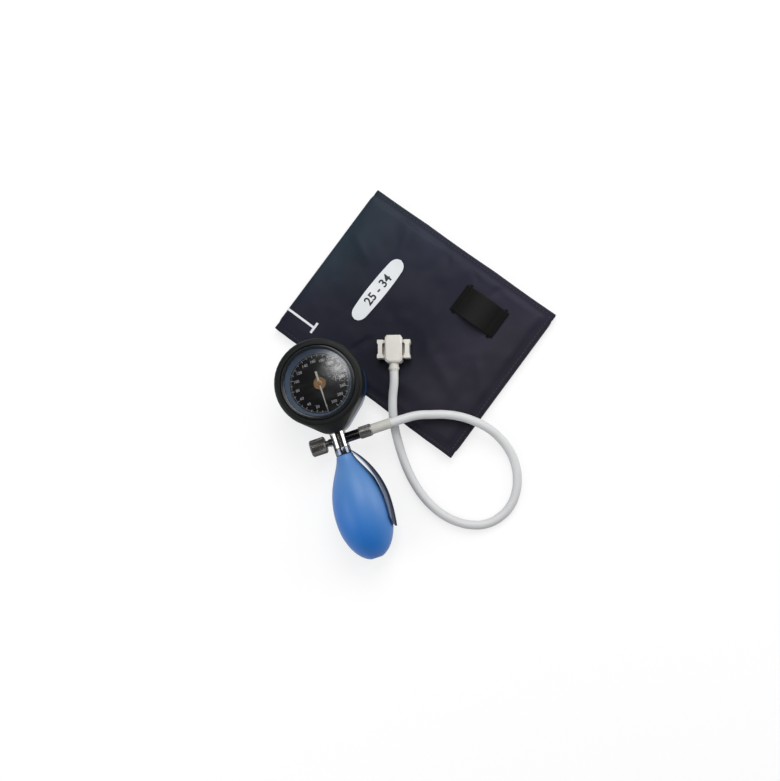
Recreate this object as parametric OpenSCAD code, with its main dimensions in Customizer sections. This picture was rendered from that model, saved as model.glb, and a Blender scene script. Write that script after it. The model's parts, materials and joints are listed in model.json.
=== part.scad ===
// Aneroid sphygmomanometer, laid out as it rests on a table.
// The gauge stem lies along Y with the gauge at +Y, the hose port faces +X and the dial faces +Z.
// Z = 0 is the table, and the origin is under the middle of everything except the hose.

/* [Layout] */
// Gauge centre, across
gauge_x = -81.4; // [-83:0.1:-80]
// Gauge centre, along the stem
gauge_y = 0; // [-1:0.5:1]
// Middle of the folded cuff, across
cuff_x = 4.7; // [4:0.1:5.4]
// Middle of the folded cuff, along the stem
cuff_y = 28.5; // [28:0.1:30]
// Turn of the cuff's long side from the X axis
cuff_turn = -54.8; // [-56:0.2:-53]
// Gap between the gauge's back and the cuff it rests on
seat_gap = 0.3; // [0.2:0.05:0.5]

/* [Cuff] */
// Length of the folded cuff
cuff_length = 184.3; // [180:0.1:188]
// Width of the cuff
cuff_width = 145; // [140:1:150]
// Thickness of one layer of cuff
layer_t = 2; // [1.6:0.1:2.4]
// Air between folded layers
fold_gap = 0.9; // [0.8:0.1:1.2]
// Length of the hook and loop patches
patch_length = 70; // [50:1:76]
// Thickness of the hook and loop patches
patch_t = 0.5; // [0.3:0.1:0.6]
// Gauge loop, length along the cuff
loop_length = 42; // [36:1:46]
// Gauge loop, width of its webbing
loop_width = 25; // [20:1:30]
// Thickness of the webbing
web_t = 1.4; // [1:0.1:1.8]
// Free height under the loop
loop_rise = 4.2; // [2:0.1:5]

/* [Gauge head] */
// Outer radius of the rubber bumper
head_r = 35.6; // [35:0.1:36.5]
// How far the bumper stands proud of the rear shell
shell_step = 0.5; // [0.3:0.1:0.8]
// Whole depth of the head
head_h = 36.9; // [36.5:0.1:39]
// Depth of the rear shell
shell_h = 15.9; // [15:0.1:17]
// Side wall of the rear shell
shell_wall = 4.6; // [4.2:0.1:5]
// Floor of the rear shell
floor_t = 2; // [1.6:0.1:2.4]
// Radius of the neck's rounded end
neck_r = 18; // [16:0.5:19]
// Distance of the neck's round from the gauge centre
neck_d = 23.5; // [22.5:0.5:24]
// Wall of the inner case ring
case_wall = 2; // [1.6:0.1:2.2]
// Radius of the front opening
opening_r = 26.9; // [26.4:0.1:27.1]
// Groove between the bezel ring and the bumper
groove_w = 0.5; // [0.3:0.1:0.8]
// Thickness of the bezel's lip
lip_t = 1.7; // [1.4:0.1:2]
// Thickness of the lens at its rim
lens_t = 1.4; // [1.2:0.1:1.8]
// Rise of the domed lens
lens_rise = 1.4; // [0.8:0.1:1.5]
// Thickness of the lens gasket
gasket_t = 0.6; // [0.4:0.1:0.8]
// Depth of the blue inner ring
ring_h = 6.6; // [6.2:0.1:7]
// Inner radius of the inner ring at the dial
ring_r = 24.4; // [24:0.1:25.2]
// Thickness of the dial
dial_t = 0.6; // [0.5:0.1:0.8]
// Radius of the hole in the dial
dial_hole_r = 5.2; // [5:0.1:5.6]

/* [Movement] */
// Height of the inlet block
block_h = 6; // [5.6:0.1:6.2]
// Half width of the inlet block
block_w = 6.5; // [6:0.1:7]
// Radius of the pressure capsule
capsule_r = 17; // [14:0.5:17.5]
// Thickness of the capsule
capsule_h = 5; // [4.6:0.1:5.2]
// Wall of the capsule
capsule_wall = 0.3; // [0.2:0.05:0.4]
// Height of the capsule's foot
foot_h = 1; // [0.8:0.1:1.2]
// Height of the pusher on the capsule
pusher_h = 2.3; // [2:0.1:2.5]
// Running gap between the pusher and the rocker
pusher_gap = 0.3; // [0.25:0.05:0.4]
// Radius of the arbors and of the rocker's shaft
arbor_r = 0.8; // [0.7:0.05:0.9]
// Radial clearance of an arbor in its bore
arbor_fit = 0.04; // [0.03:0.01:0.08]
// Thickness of the movement plates
plate_t = 1; // [0.8:0.1:1.2]
// Radius of the movement plates
plate_r = 23.5; // [23.2:0.1:24.5]
// Distance of the pillars from the gauge centre
pillar_d = 21; // [20.5:0.1:21.2]
// Radius of a pillar
pillar_r = 2; // [1.9:0.1:2.2]
// Tooth module of the pinion and the sector
gear_module = 0.3; // [0.3:0.01:0.31]
// Teeth on the pinion
pinion_teeth = 8; // [8:1:8]
// Teeth that a whole sector wheel would have
sector_teeth = 96; // [96:1:96]
// Thickness of the sector
sector_t = 1; // [0.8:0.1:1.2]
// Length of the pointer from its pivot to its tip
pointer_tip = 22; // [20:0.5:23]
// Length of the pointer's tail
pointer_tail = 10; // [8:0.5:12]

/* [Valve column] */
// Radius of the column
column_r = 6.5; // [6.3:0.1:6.8]
// Distance of the valve's cross axis from the gauge centre
valve_d = 47; // [46:0.5:48]
// Where the column ends and the spoon's ring starts
column_end = 53.6; // [53.6:0.1:54.6]
// Length of the spoon's ring
ring_len = 6; // [5.5:0.1:6.5]
// Radius of the nipple that the bulb fits on
nipple_r = 4.6; // [4.4:0.1:4.8]
// Length of the nipple inside the bulb
nipple_len = 10; // [9:0.5:12]
// Radius of the air passage
air_r = 1.2; // [1:0.1:1.3]
// Radius of the release knob
knob_r = 6.9; // [6.2:0.1:7]
// Length of the release knob
knob_len = 12.7; // [11:0.1:13]
// Distance of the knob's inner face from the stem axis
knob_in = 11.5; // [11:0.1:12]
// Radius of the valve's stem
valve_stem_r = 2.6; // [2.5:0.1:2.8]
// Number of flutes round the knob
knob_flutes = 36; // [24:1:48]
// Radius of the hose port
port_r = 4.1; // [3.9:0.1:4.3]
// Distance of the port's shoulder from the stem axis
port_len = 17; // [16.5:0.1:17.2]
// Radius of the hose nut
nut_r = 5; // [4.6:0.1:5.2]
// Length of the hose nut
nut_len = 10.4; // [9:0.1:10.8]
// Number of flutes round the hose nut
nut_flutes = 26; // [20:1:32]
// Length of the sleeve on the hose
sleeve_len = 16.5; // [16:0.5:18]
// Wall of the sleeve
sleeve_wall = 0.55; // [0.4:0.05:0.8]

/* [Bulb] */
// Largest radius of the bulb, which is also the height of the stem axis
bulb_r = 22.5; // [22.4:0.1:22.8]
// Length of the bulb
bulb_len = 85.8; // [84:0.1:88]
// How far down the bulb it is widest
bulb_widest = 50; // [48:0.5:52]
// Radius of the bulb's neck
bulb_neck_r = 6.8; // [6.6:0.1:7.4]
// Wall of the bulb
bulb_wall = 2.2; // [1.8:0.1:2.4]
// Radius of the hole for the intake valve
intake_r = 4.5; // [4.2:0.1:4.8]
// Thickness of rubber round the intake valve
intake_len = 9; // [8.5:0.1:10]
// Travel of the rubber valve discs
disc_travel = 0.6; // [0.4:0.1:0.8]
// Thickness of the rubber valve discs
disc_t = 0.8; // [0.6:0.1:1]

/* [Spoon] */
// Largest radius of the spoon round the stem axis
spoon_r = 25.6; // [25.4:0.1:26.5]
// Thickness of the spoon
spoon_t = 1; // [0.8:0.1:1.2]
// Angle that the spoon wraps round the bulb
spoon_wrap = 56; // [48:1:64]
// Length of the spoon past its ring
spoon_len = 67; // [60:1:70]

/* [Hose and fitting] */
// Outer radius of the hose
hose_r = 3.6; // [3.4:0.05:3.6]
// Middle of the fitting, across
fitting_x = -17.2; // [-17.4:0.1:-17]
// Middle of the fitting, along the stem
fitting_y = 10; // [9.8:0.1:10.2]
// Turn of the fitting from the stem's direction
fitting_turn = -18; // [-19:0.5:-17]
// Width of the fitting's body
body_w = 14; // [13.6:0.1:14.4]
// Length of the fitting's body
body_len = 22.4; // [22:0.1:23]
// Height of the fitting's body
body_h = 11.6; // [11.2:0.1:12]
// Length of the fitting's neck
neck_len = 6.3; // [6:0.1:6.6]
// Radius of the fitting's neck
fitting_neck_r = 3.9; // [3.8:0.1:4.2]
// Width of a squeeze tab
tab_w = 4.9; // [4.6:0.1:5.4]
// Length of a squeeze tab
tab_len = 15; // [15:0.5:17]
// Gap between a tab and the body
tab_gap = 1.6; // [1.4:0.1:1.8]
// Travel of a squeeze tab
tab_travel = 1.2; // [1:0.1:1.2]
// Radius of the port's post
post_r = 4.4; // [4.2:0.1:4.5]
// Radius of the port's flange
flange_r = 11; // [10:0.5:12]
// Thickness of the port's flange
flange_t = 1.8; // [1.5:0.1:2]

/* [Hidden] */
$fn = 72;

// Clearances
slip = 0.05;
free = 0.3;
// Levels of the gauge head
cuff_t = 3 * layer_t + 2 * fold_gap;
back_z = cuff_t + seat_gap;
floor_z = back_z + floor_t;
split_z = back_z + shell_h;
front_z = back_z + head_h;
stem_z = bulb_r;
lip_z = front_z - lip_t;
lens_z = lip_z - free - lens_t;
case_top = lens_z - gasket_t;
dial_top = case_top - ring_h;
dial_z = dial_top - dial_t;
ledge_t = 1;
ledge_w = 1.4;
bumper_drop = 0.5;
// Radii of the gauge head
shell_r = head_r - shell_step;
shell_in = shell_r - shell_wall;
case_out = shell_in - 2 * slip;
case_in = case_out - case_wall;
lens_r = case_in - 4 * slip;
// Levels of the movement
block_top = floor_z + block_h;
capsule_z = block_top + foot_h;
capsule_top = capsule_z + capsule_h;
arm_z = capsule_top + pusher_h + pusher_gap;
arm_t = 1;
ear_drop = 1.8;
rocker_z = arm_z + arm_t / 2;
low_plate_z = rocker_z + ear_drop;
low_plate_top = low_plate_z + plate_t;
sector_z = low_plate_top + 0.9;
sector_top = sector_z + sector_t;
top_plate_z = sector_top + 1.9;
top_plate_top = top_plate_z + plate_t;
pointer_z = dial_top + 1.2;
pointer_t = 0.4;
// Gears: the pinion turns twelve times as far as the sector
pinion_r = gear_module * pinion_teeth / 2;
sector_r = gear_module * sector_teeth / 2;
gear_centres = pinion_r + sector_r;
// Rocker: its low arm lies over the pusher and its high arm pushes the sector's pin
rocker_x = -3;
high_arm_h = 3.5;
pin_r = 0.4;
pin_d = 2.4;
pin_angle = 75.9;
spring_in = 1.85;
spring_out = 6;
spring_drop = 0.9;
collet_r = 1.7;
collet_h = 1;
spring_stud_w = 1.2;
pivot_x = rocker_x - arm_t / 2 - pin_r - 0.15 - pin_d * cos(pin_angle);
pivot_y = sqrt(pow(gear_centres, 2) - pow(pivot_x, 2));
pin_y = pivot_y + pin_d * sin(pin_angle);
ear_t = 1.4;
ear_w = 4;
ear_front = -1.8;
ear_back = pin_y + arm_t;
pillar_angles = [60, 180, 300];
stud_r = 1;
stud_len = 1.5;
screw_r = 1.2;
screw_head_r = 2.2;
screw_head_h = 1.2;
screw_slot_w = 0.6;
screw_slot_h = 0.5;
case_screw_bite = 4.5;
stem_screw_bite = 3;
plate_screw_r = 0.8;
plate_screw_head_r = 1.5;
plate_screw_bite = 2.2;
feet_x = 13;
feet_y = -5;
feet_r = 0.9;
// Stations down the stem, as distances from the gauge centre
spigot_r = 4;
spigot_end = 27;
filter_t = 1;
column_top = 33.5;
seal_t = 1.2;
stem_screw_d = 36.5;
block_end = 29.3;
block_back = 22.3;
nipple_start = column_end + slip;
bulb_start = nipple_start + ring_len + 3 * slip;
nipple_end = bulb_start + nipple_len;
bulb_end = bulb_start + bulb_len;
chamber_r = 3.2;
chamber_len = 5.8;
seat_len = 3.6;
outlet_seat_d = nipple_end - seat_len - 4 * slip;
// Stations along the cross axis
seat_in = 1.8;
seat_out = 3.4;
bonnet_r = 3.2;
bonnet_in = 5.6;
bonnet_out = 8.8;
stem_in = 5;
stem_reach = 6.5;
needle_r = 1.2;
seat_bore_r = 0.8;
orifice_r = 0.7;
port_spigot_r = 2.2;
shoulder_in = 4.6;
thread_r = 3.4;
hose_start = 24.5;
sleeve_in = hose_r + slip;
sleeve_start = port_len + nut_len + slip;
// Intake valve at the bulb's tip
intake_seat_d = bulb_end - 4.2;
intake_disc_r = 3;
retainer_t = 1.2;
// Fitting and port
fitting_z = cuff_t + flange_t + free;
hose_end_z = fitting_z + body_h / 2;
latch_z = fitting_z + 0.8;
plate_h = 0.8;
plate_gap = 0.2;
slot_h = 2 * plate_h + 2 * plate_gap;
bore_h = 7.5;
post_h = 5;
seal_r = 3.2;
seal_h = 1.2;
bore_r = post_r + 2 * slip;
groove_r = post_r - 0.6;
shank_r = 5;
tab_in = body_w / 2 + tab_gap;
latch_w = 11;
tab_h = 9;
leg_y = 6.3;
leg_w = 2.2;
leg_h = 5;
leg_reach = 1.5;
leg_z = latch_z + 2.6;
// Fold radii of the cuff, and the gauge loop's place on it
fold_in = fold_gap / 2;
fold_out = layer_t + fold_in;
fold_x = cuff_length / 2 - fold_out;
loop_x = 39.4;
loop_y = 38.3;
loop_flat = 7;
patch_x = 50;
patch_margin = 10;
ring_t = 0.7;
// Stations of the spoon's blade from the middle of its ring: its neck, its flare and its widest place
spoon_neck = 9;
spoon_flare = 27;
spoon_belly = 47;
spoon_tip_in = 2;
// Hose: its centre line, from the nut to the fitting, and the sides of its tube
hose_sides = 12;
hose_path = [[-56.9, -47, 22.5], [-46.9, -47, 22.5], [-36.9, -47, 22.5], [-27.9, -47, 21.2],
    [-15.9, -47.6, 18.6], [-4.9, -50.4, 16.2], [6.3, -54, 14.1], [17.1, -59.4, 12.6], [26.5, -66.4, 11.8],
    [35.1, -75.2, 10.4], [41.3, -85.2, 7.2], [45.3, -96.6, 4.7], [46.3, -108.5, 3.8], [44.3, -120, 3.7],
    [39.3, -130.8, 3.7], [31.5, -139.6, 3.7], [21.1, -145.2, 3.7], [9.1, -147, 3.7], [-2.5, -144.2, 3.7],
    [-12.7, -138.2, 3.7], [-21.3, -130, 3.7], [-27.9, -120.2, 3.7], [-32.9, -109.2, 3.7],
    [-36.1, -97.6, 3.7], [-37.9, -86, 3.7], [-38.5, -74.2, 4.2], [-38.1, -62.4, 6.6], [-36.9, -51, 9.8],
    [-34.5, -39.2, 11.8], [-30.7, -27.4, 13.6], [-25.7, -16.2, 15.7], [-22.6, -6.7, 15.7]];

// Points of a star with n flutes
function flutes(n, r, depth) =
    [for (i = [0:2 * n - 1]) (r - (i % 2) * depth) * [cos(i * 180 / n), sin(i * 180 / n)]];
// One coordinate of a cubic curve
function cubic(a, b, c, d, t) =
    a * pow(1 - t, 3) + 3 * b * t * pow(1 - t, 2) + 3 * c * pow(t, 2) * (1 - t) + d * pow(t, 3);

module gauge() {
    translate([gauge_x, gauge_y, 0]) children();
}

// Local Z runs down the stem, from the gauge centre towards the bulb
module stem() {
    translate([gauge_x, gauge_y, stem_z]) rotate([90, 0, 0]) children();
}

// Local Z runs along the valve's cross axis, towards the hose
module cross_axis() {
    translate([gauge_x, gauge_y - valve_d, stem_z]) rotate([0, 90, 0]) children();
}

module fitting() {
    translate([fitting_x, fitting_y, 0]) rotate([0, 0, fitting_turn]) children();
}

module cuff_plane() {
    translate([cuff_x, cuff_y, 0]) rotate([0, 0, cuff_turn]) children();
}

module tube(r_out, r_in, z0, z1) {
    translate([0, 0, z0]) difference() {
        cylinder(r = r_out, h = z1 - z0);
        translate([0, 0, -1]) cylinder(r = r_in, h = z1 - z0 + 2);
    }
}

module rod(r, z0, z1) {
    translate([0, 0, z0]) cylinder(r = r, h = z1 - z0);
}

module at_pillars() {
    for (a = pillar_angles) rotate([0, 0, a]) translate([pillar_d, 0, 0]) children();
}

// Round puck whose lower and upper edges may be rounded
module puck(r, z0, z1, low_f, high_f) {
    low = low_f > 0 ? [for (a = [0:15:90]) [r - low_f + low_f * sin(a), z0 + low_f - low_f * cos(a)]]
        : [[r, z0]];
    high = high_f > 0 ? [for (a = [0:15:90]) [r - high_f + high_f * cos(a), z1 - high_f + high_f * sin(a)]]
        : [[r, z1]];
    rotate_extrude($fn = 48) polygon(concat([[0, z0]], low, high, [[0, z1]]));
}

// Space for the valve column and its seal in the neck
module stem_socket() {
    translate([0, 0, stem_z]) rotate([90, 0, 0]) {
        rod(column_r + slip, column_top - seal_t, column_top + 20);
        rod(spigot_r + slip, spigot_end - 2, column_top);
    }
}

module rear_shell() {
    edge_f = 4;
    color([0.13, 0.36, 0.62]) gauge() difference() {
        hull() {
            puck(shell_r, back_z, split_z, edge_f, 0);
            translate([0, -neck_d, 0]) puck(neck_r - shell_step, back_z, split_z, edge_f, 0);
        }
        rod(shell_in, floor_z, front_z);
        stem_socket();
        at_pillars() {
            rod(screw_r + 2 * slip, back_z - 1, floor_z + 1);
            rod(screw_head_r + 2 * slip, back_z - 1, back_z + screw_head_h + 2 * slip);
        }
        translate([0, -stem_screw_d, 0]) {
            rod(screw_r + 2 * slip, back_z - 1, stem_z);
            rod(screw_head_r + 2 * slip, back_z - 1, back_z + screw_head_h + 2 * slip);
        }
    }
}

// Slotted flat-head screw, driven upwards from z
module back_screw(z, shaft_top) {
    difference() {
        union() {
            rod(screw_head_r, z, z + screw_head_h);
            rod(screw_r, z, shaft_top);
        }
        translate([-screw_head_r - 1, -screw_slot_w / 2, z - 1])
            cube([2 * screw_head_r + 2, screw_slot_w, 1 + screw_slot_h]);
    }
}

module case_screws() {
    color("silver") gauge() at_pillars() back_screw(back_z + 2 * slip, floor_z + case_screw_bite);
}

module stem_screw() {
    color("silver") gauge() translate([0, -stem_screw_d, 0])
        back_screw(back_z + 2 * slip, stem_z - column_r + stem_screw_bite);
}

module case_ring() {
    notch_w = block_w + free;
    color([0.1, 0.1, 0.11]) gauge() difference() {
        union() {
            tube(case_out, case_in, floor_z, case_top);
            tube(case_in + slip, case_in - ledge_w, dial_z - ledge_t, dial_z);
        }
        translate([-notch_w, -case_out - 1, floor_z - 1])
            cube([2 * notch_w, case_out, stem_z + column_r - floor_z]);
    }
}

module bumper() {
    edge_f = 2.8;
    neck_drop = 6;
    top = front_z - bumper_drop;
    color([0.09, 0.1, 0.1]) gauge() difference() {
        hull() {
            puck(head_r, split_z, top, 0, edge_f);
            translate([0, -neck_d, 0]) puck(neck_r, split_z, top - neck_drop, 0, edge_f);
        }
        rod(shell_in, split_z - 1, front_z + 1);
        stem_socket();
    }
}

module bezel_ring() {
    out = shell_in - 2 * slip - groove_w;
    edge = 0.7;
    color([0.08, 0.08, 0.09]) gauge() rotate_extrude() polygon([
        [opening_r, lip_z], [opening_r, front_z - edge], [opening_r + edge, front_z], [out - edge, front_z],
        [out, front_z - edge], [out, case_top], [case_in, case_top], [case_in, lip_z]]);
}

module lens() {
    steps = 10;
    rim_z = lens_z + lens_t;
    color([0.85, 0.9, 0.95, 0.35]) gauge() rotate_extrude() polygon(concat(
        [[0, lens_z], [lens_r, lens_z]],
        [for (i = [0:steps]) let (u = 1 - i / steps) [lens_r * u, rim_z + lens_rise * (1 - u * u)]]));
}

module lens_gasket() {
    color([0.15, 0.15, 0.15]) gauge() tube(lens_r, opening_r + 0.5, case_top, lens_z);
}

module inner_ring() {
    color([0.35, 0.5, 0.78]) gauge() rotate_extrude()
        polygon([[ring_r, dial_top], [lens_r, dial_top], [lens_r, case_top], [opening_r + 0.2, case_top]]);
}

module dial() {
    color([0.06, 0.06, 0.07]) gauge() {
        tube(lens_r, dial_hole_r, dial_z, dial_top);
        for (m = [-1, 1]) translate([m * feet_x, feet_y, 0])
            rod(feet_r, top_plate_z + 2 * slip, dial_z + slip);
    }
}

module pointer() {
    boss_r = 2.2;
    color([0.93, 0.88, 0.72]) gauge() translate([0, 0, pointer_z]) linear_extrude(pointer_t)
        difference() {
            union() {
                circle(r = boss_r);
                polygon([[-0.7, 0], [-0.85, pointer_tail], [0.85, pointer_tail], [0.7, 0],
                    [0.2, -pointer_tip], [-0.2, -pointer_tip]]);
            }
            circle(r = arbor_r + 0.4 + slip);
        }
}

module pointer_hub() {
    top = pointer_z + pointer_t;
    color([0.8, 0.66, 0.36]) gauge() difference() {
        union() {
            rod(1.9, pointer_z - 0.6, pointer_z);
            rod(arbor_r + 0.4, pointer_z - 0.1, top + 0.1);
            rod(1.8, top, top + 0.5);
            translate([0, 0, top + 0.5]) cylinder(r1 = 1.8, r2 = 1, h = 0.5);
        }
        rod(arbor_r + 0.02, pointer_z - 1, top + 0.4);
    }
}

// One straight-sided tooth that points along X
module tooth(root, pitch, tip, half_root, half_pitch, half_tip) {
    polygon([[root, -half_root], [pitch, -half_pitch], [tip, -half_tip],
        [tip, half_tip], [pitch, half_pitch], [root, half_root]]);
}

module pinion_arbor() {
    mesh_angle = atan2(pivot_y, pivot_x) + 180 / pinion_teeth;
    root = pinion_r - 0.375;
    color([0.75, 0.62, 0.35]) gauge() {
        rod(arbor_r, low_plate_z + 2 * slip, pointer_z + pointer_t + 0.3);
        rod(collet_r, top_plate_z - spring_drop - collet_h / 2, top_plate_z - spring_drop + collet_h / 2);
        translate([0, 0, sector_z - 3 * slip]) linear_extrude(sector_t + 6 * slip) {
            circle(r = root);
            for (i = [0:pinion_teeth - 1]) rotate([0, 0, mesh_angle + i * 360 / pinion_teeth])
                tooth(root - 0.1, pinion_r, pinion_r + gear_module, 0.17, 0.19, 0.06);
        }
    }
}

module hairspring() {
    turns = 4;
    half = 0.1;
    height = 0.6;
    angles = [for (i = [0:24 * turns]) i * 15];
    function spiral(a, side) =
        (spring_in + (spring_out - spring_in) * a / (360 * turns) + side) * [cos(a), sin(a)];
    color([0.3, 0.35, 0.5]) gauge() translate([0, 0, top_plate_z - spring_drop - height / 2])
        linear_extrude(height) polygon(concat([for (a = angles) spiral(a, half)],
            [for (i = [len(angles) - 1:-1:0]) spiral(angles[i], -half)]));
}

module movement_top_plate() {
    color([0.78, 0.66, 0.38]) gauge() {
        difference() {
            union() {
                rod(plate_r, top_plate_z, top_plate_top);
                rod(dial_hole_r - free, top_plate_z, dial_top + free);
            }
            rod(arbor_r + arbor_fit, top_plate_z - 1, front_z);
            translate([pivot_x, pivot_y, 0]) rod(arbor_r + arbor_fit, top_plate_z - 1, top_plate_top + 1);
            for (m = [-1, 1]) translate([m * feet_x, feet_y, 0])
                rod(feet_r + slip, top_plate_z - 1, top_plate_top + 1);
            at_pillars() rod(plate_screw_r + slip, top_plate_z - 1, top_plate_top + 1);
        }
        translate([spring_out - spring_stud_w / 2, 0, top_plate_z - spring_drop - collet_h / 2])
            cube([spring_stud_w, 1, spring_drop + collet_h / 2 + plate_t / 2]);
    }
}

module movement_bottom_plate() {
    slot_y = arm_t / 2 + 0.2;
    color([0.78, 0.66, 0.38]) gauge() difference() {
        union() {
            rod(plate_r, low_plate_z, low_plate_top);
            for (y = [ear_front - ear_t, ear_back]) translate([rocker_x - ear_w / 2, y, rocker_z - ear_drop])
                cube([ear_w, ear_t, low_plate_z - rocker_z + ear_drop + 0.2]);
        }
        rod(arbor_r + arbor_fit, low_plate_z - 1, low_plate_top + 1);
        translate([pivot_x, pivot_y, 0]) rod(arbor_r + arbor_fit, low_plate_z - 1, low_plate_top + 1);
        at_pillars() rod(stud_r + slip, low_plate_z - 1, low_plate_top + 1);
        translate([rocker_x - arm_t / 2 - 1.4, pin_y - slot_y, low_plate_z - 1])
            cube([arm_t + 1.8, 2 * slot_y, plate_t + 2]);
        translate([-block_w - free, -plate_r - 1, low_plate_z - 1])
            cube([2 * (block_w + free), plate_r + 1 - block_back + free, plate_t + 2]);
        translate([rocker_x, ear_back + ear_t + 1, rocker_z]) rotate([90, 0, 0])
            rod(arbor_r + arbor_fit, 0, ear_back - ear_front + 2 * ear_t + 2);
    }
}

module lower_pillars() {
    color("goldenrod") gauge() at_pillars() difference() {
        rod(pillar_r, floor_z, low_plate_z);
        rod(screw_r + slip, floor_z - 1, floor_z + case_screw_bite + 0.5);
        rod(stud_r + slip, low_plate_z - stud_len - 2 * slip, low_plate_z + 1);
    }
}

module upper_pillars() {
    color("goldenrod") gauge() at_pillars() difference() {
        union() {
            rod(pillar_r, low_plate_top, top_plate_z);
            rod(stud_r, low_plate_z - stud_len, low_plate_top + 0.5);
        }
        rod(plate_screw_r + slip, top_plate_z - plate_screw_bite - 0.3, top_plate_z + 1);
    }
}

module movement_screws() {
    color("silver") gauge() at_pillars() {
        rod(plate_screw_head_r, top_plate_top, top_plate_top + 0.5);
        rod(plate_screw_r, top_plate_z - plate_screw_bite, top_plate_top + 0.2);
    }
}

module sector_gear() {
    line = atan2(-pivot_y, -pivot_x);
    step = 360 / sector_teeth;
    root = sector_r - 0.4;
    first = -10;
    last = 2;
    a0 = line + (first - 0.5) * step;
    a1 = line + (last + 0.5) * step;
    reach = 2 * sector_r;
    color([0.8, 0.68, 0.4]) gauge() translate([pivot_x, pivot_y, 0]) {
        translate([0, 0, sector_z]) linear_extrude(sector_t) {
            difference() {
                intersection() {
                    circle(r = root);
                    polygon([[0, 0], reach * [cos(a0), sin(a0)], reach * [cos(a1), sin(a1)]]);
                }
                intersection() {
                    circle(r = root - 1.8);
                    translate(2.6 / sin((a1 - a0) / 2) * [cos((a0 + a1) / 2), sin((a0 + a1) / 2)])
                        polygon([[0, 0], reach * [cos(a0), sin(a0)], reach * [cos(a1), sin(a1)]]);
                }
            }
            for (k = [first:last]) rotate([0, 0, line + k * step])
                tooth(root - 0.2, sector_r, sector_r + gear_module, 0.32, 0.19, 0.08);
            circle(r = 2);
            rotate([0, 0, pin_angle]) translate([0, -pin_r - 0.2])
                square([pin_d + pin_r + 0.2, 2 * pin_r + 0.4]);
        }
        rod(arbor_r, low_plate_z + 2 * slip, top_plate_top - 2 * slip);
        rotate([0, 0, pin_angle]) translate([pin_d, 0, 0])
            rod(pin_r, low_plate_top + 2 * slip, sector_z + slip);
    }
}

module rocker_shaft() {
    color([0.7, 0.7, 0.72]) gauge() translate([rocker_x, 0, rocker_z]) {
        translate([0, ear_back + ear_t, 0]) rotate([90, 0, 0])
            rod(arbor_r, 0, ear_back - ear_front + 2 * ear_t);
        translate([0, -1.2, -arm_t / 2]) cube([-rocker_x + 0.6, 2.4, arm_t]);
        translate([-arm_t / 2, pin_y - arm_t / 2, 0]) cube([arm_t, arm_t, high_arm_h]);
    }
}

// Half height of the capsule's corrugated skin at radius r
function capsule_half(r) =
    r < 4 ? capsule_h / 2 : r > capsule_r - 1 ? 0.7 : capsule_h / 2 - 0.5 + 0.3 * cos(100 * (r - 4));

module capsule() {
    mid = capsule_z + capsule_h / 2;
    waves = [3.9, for (r = [4:0.9:capsule_r - 1.6]) r];
    skin = concat(waves, [capsule_r - 0.9, capsule_r]);
    function line(list, side, inset) = [for (i = [0:len(list) - 1])
        let (r = list[side < 0 ? i : len(list) - 1 - i]) [r, mid + side * (capsule_half(r) - inset)]];
    function back(list) = [for (i = [len(list) - 1:-1:0]) list[i]];
    color([0.85, 0.75, 0.5]) gauge() rotate_extrude() polygon(concat(
        [[1, block_top], [3, block_top], [3, capsule_z]], line(skin, -1, 0), line(skin, 1, 0),
        [[0, capsule_top], [0, capsule_top - capsule_wall]], back(line(waves, 1, capsule_wall)),
        back(line(waves, -1, capsule_wall)), [[1, capsule_z + capsule_wall]]));
}

module capsule_pusher() {
    tip_z = capsule_top + pusher_h;
    color([0.6, 0.6, 0.62]) gauge() rotate_extrude() polygon([[0, capsule_top], [1.6, capsule_top],
        [1.6, capsule_top + 0.6], [1, capsule_top + 0.6], [1, tip_z - 0.6], [0.4, tip_z], [0, tip_z]]);
}

module inlet_block() {
    drop_y = -24.5;
    low_z = floor_z + block_h / 2;
    color([0.7, 0.7, 0.68]) gauge() difference() {
        union() {
            rod(block_w, floor_z, block_top);
            translate([-block_w, -block_end, floor_z]) cube([2 * block_w, block_end, block_h]);
            translate([-block_w, -block_end, floor_z])
                cube([2 * block_w, block_end - block_back, stem_z + 5.5 - floor_z]);
        }
        translate([0, 0, stem_z]) rotate([90, 0, 0]) {
            rod(spigot_r + slip, spigot_end - filter_t, block_end + 1);
            rod(air_r, -drop_y, block_end);
        }
        translate([0, drop_y, 0]) rod(air_r, low_z, stem_z);
        translate([0, 0, low_z]) rotate([90, 0, 0]) rod(air_r, 0, -drop_y);
        rod(1, low_z, block_top + 1);
    }
}

module inlet_filter() {
    color([0.85, 0.83, 0.78]) stem() rod(spigot_r - slip, spigot_end - filter_t, spigot_end);
}

module stem_seal() {
    color([0.12, 0.12, 0.12]) stem()
        tube(column_r - 2 * slip, spigot_r + slip, column_top - seal_t, column_top);
}

module valve_body() {
    bore = valve_stem_r + slip;
    color([0.78, 0.79, 0.8]) difference() {
        stem() {
            rod(spigot_r, spigot_end, column_top + 1);
            rod(column_r, column_top, column_end);
            rod(nipple_r, column_end - 1, nipple_end);
        }
        stem() {
            rod(air_r, spigot_end - 1, nipple_end - chamber_len + 1);
            rod(chamber_r, nipple_end - chamber_len, nipple_end + 1);
        }
        cross_axis() {
            rod(seat_bore_r, -seat_in - 1, 0);
            rod(bore, -column_r - 1, -seat_in);
            rod(bonnet_r + slip, -column_r - 1, -bonnet_in);
            rod(port_spigot_r + slip, 0, column_r);
            rod(port_r + slip, shoulder_in, column_r + 1);
        }
        translate([gauge_x - (seat_out + stem_in) / 2, gauge_y - valve_d, 0])
            rod(orifice_r, stem_z - column_r - 1, stem_z);
        translate([gauge_x, gauge_y - stem_screw_d, 0])
            rod(screw_r + slip, stem_z - column_r - 1, stem_z - column_r + stem_screw_bite + 8 * slip);
    }
}

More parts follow.
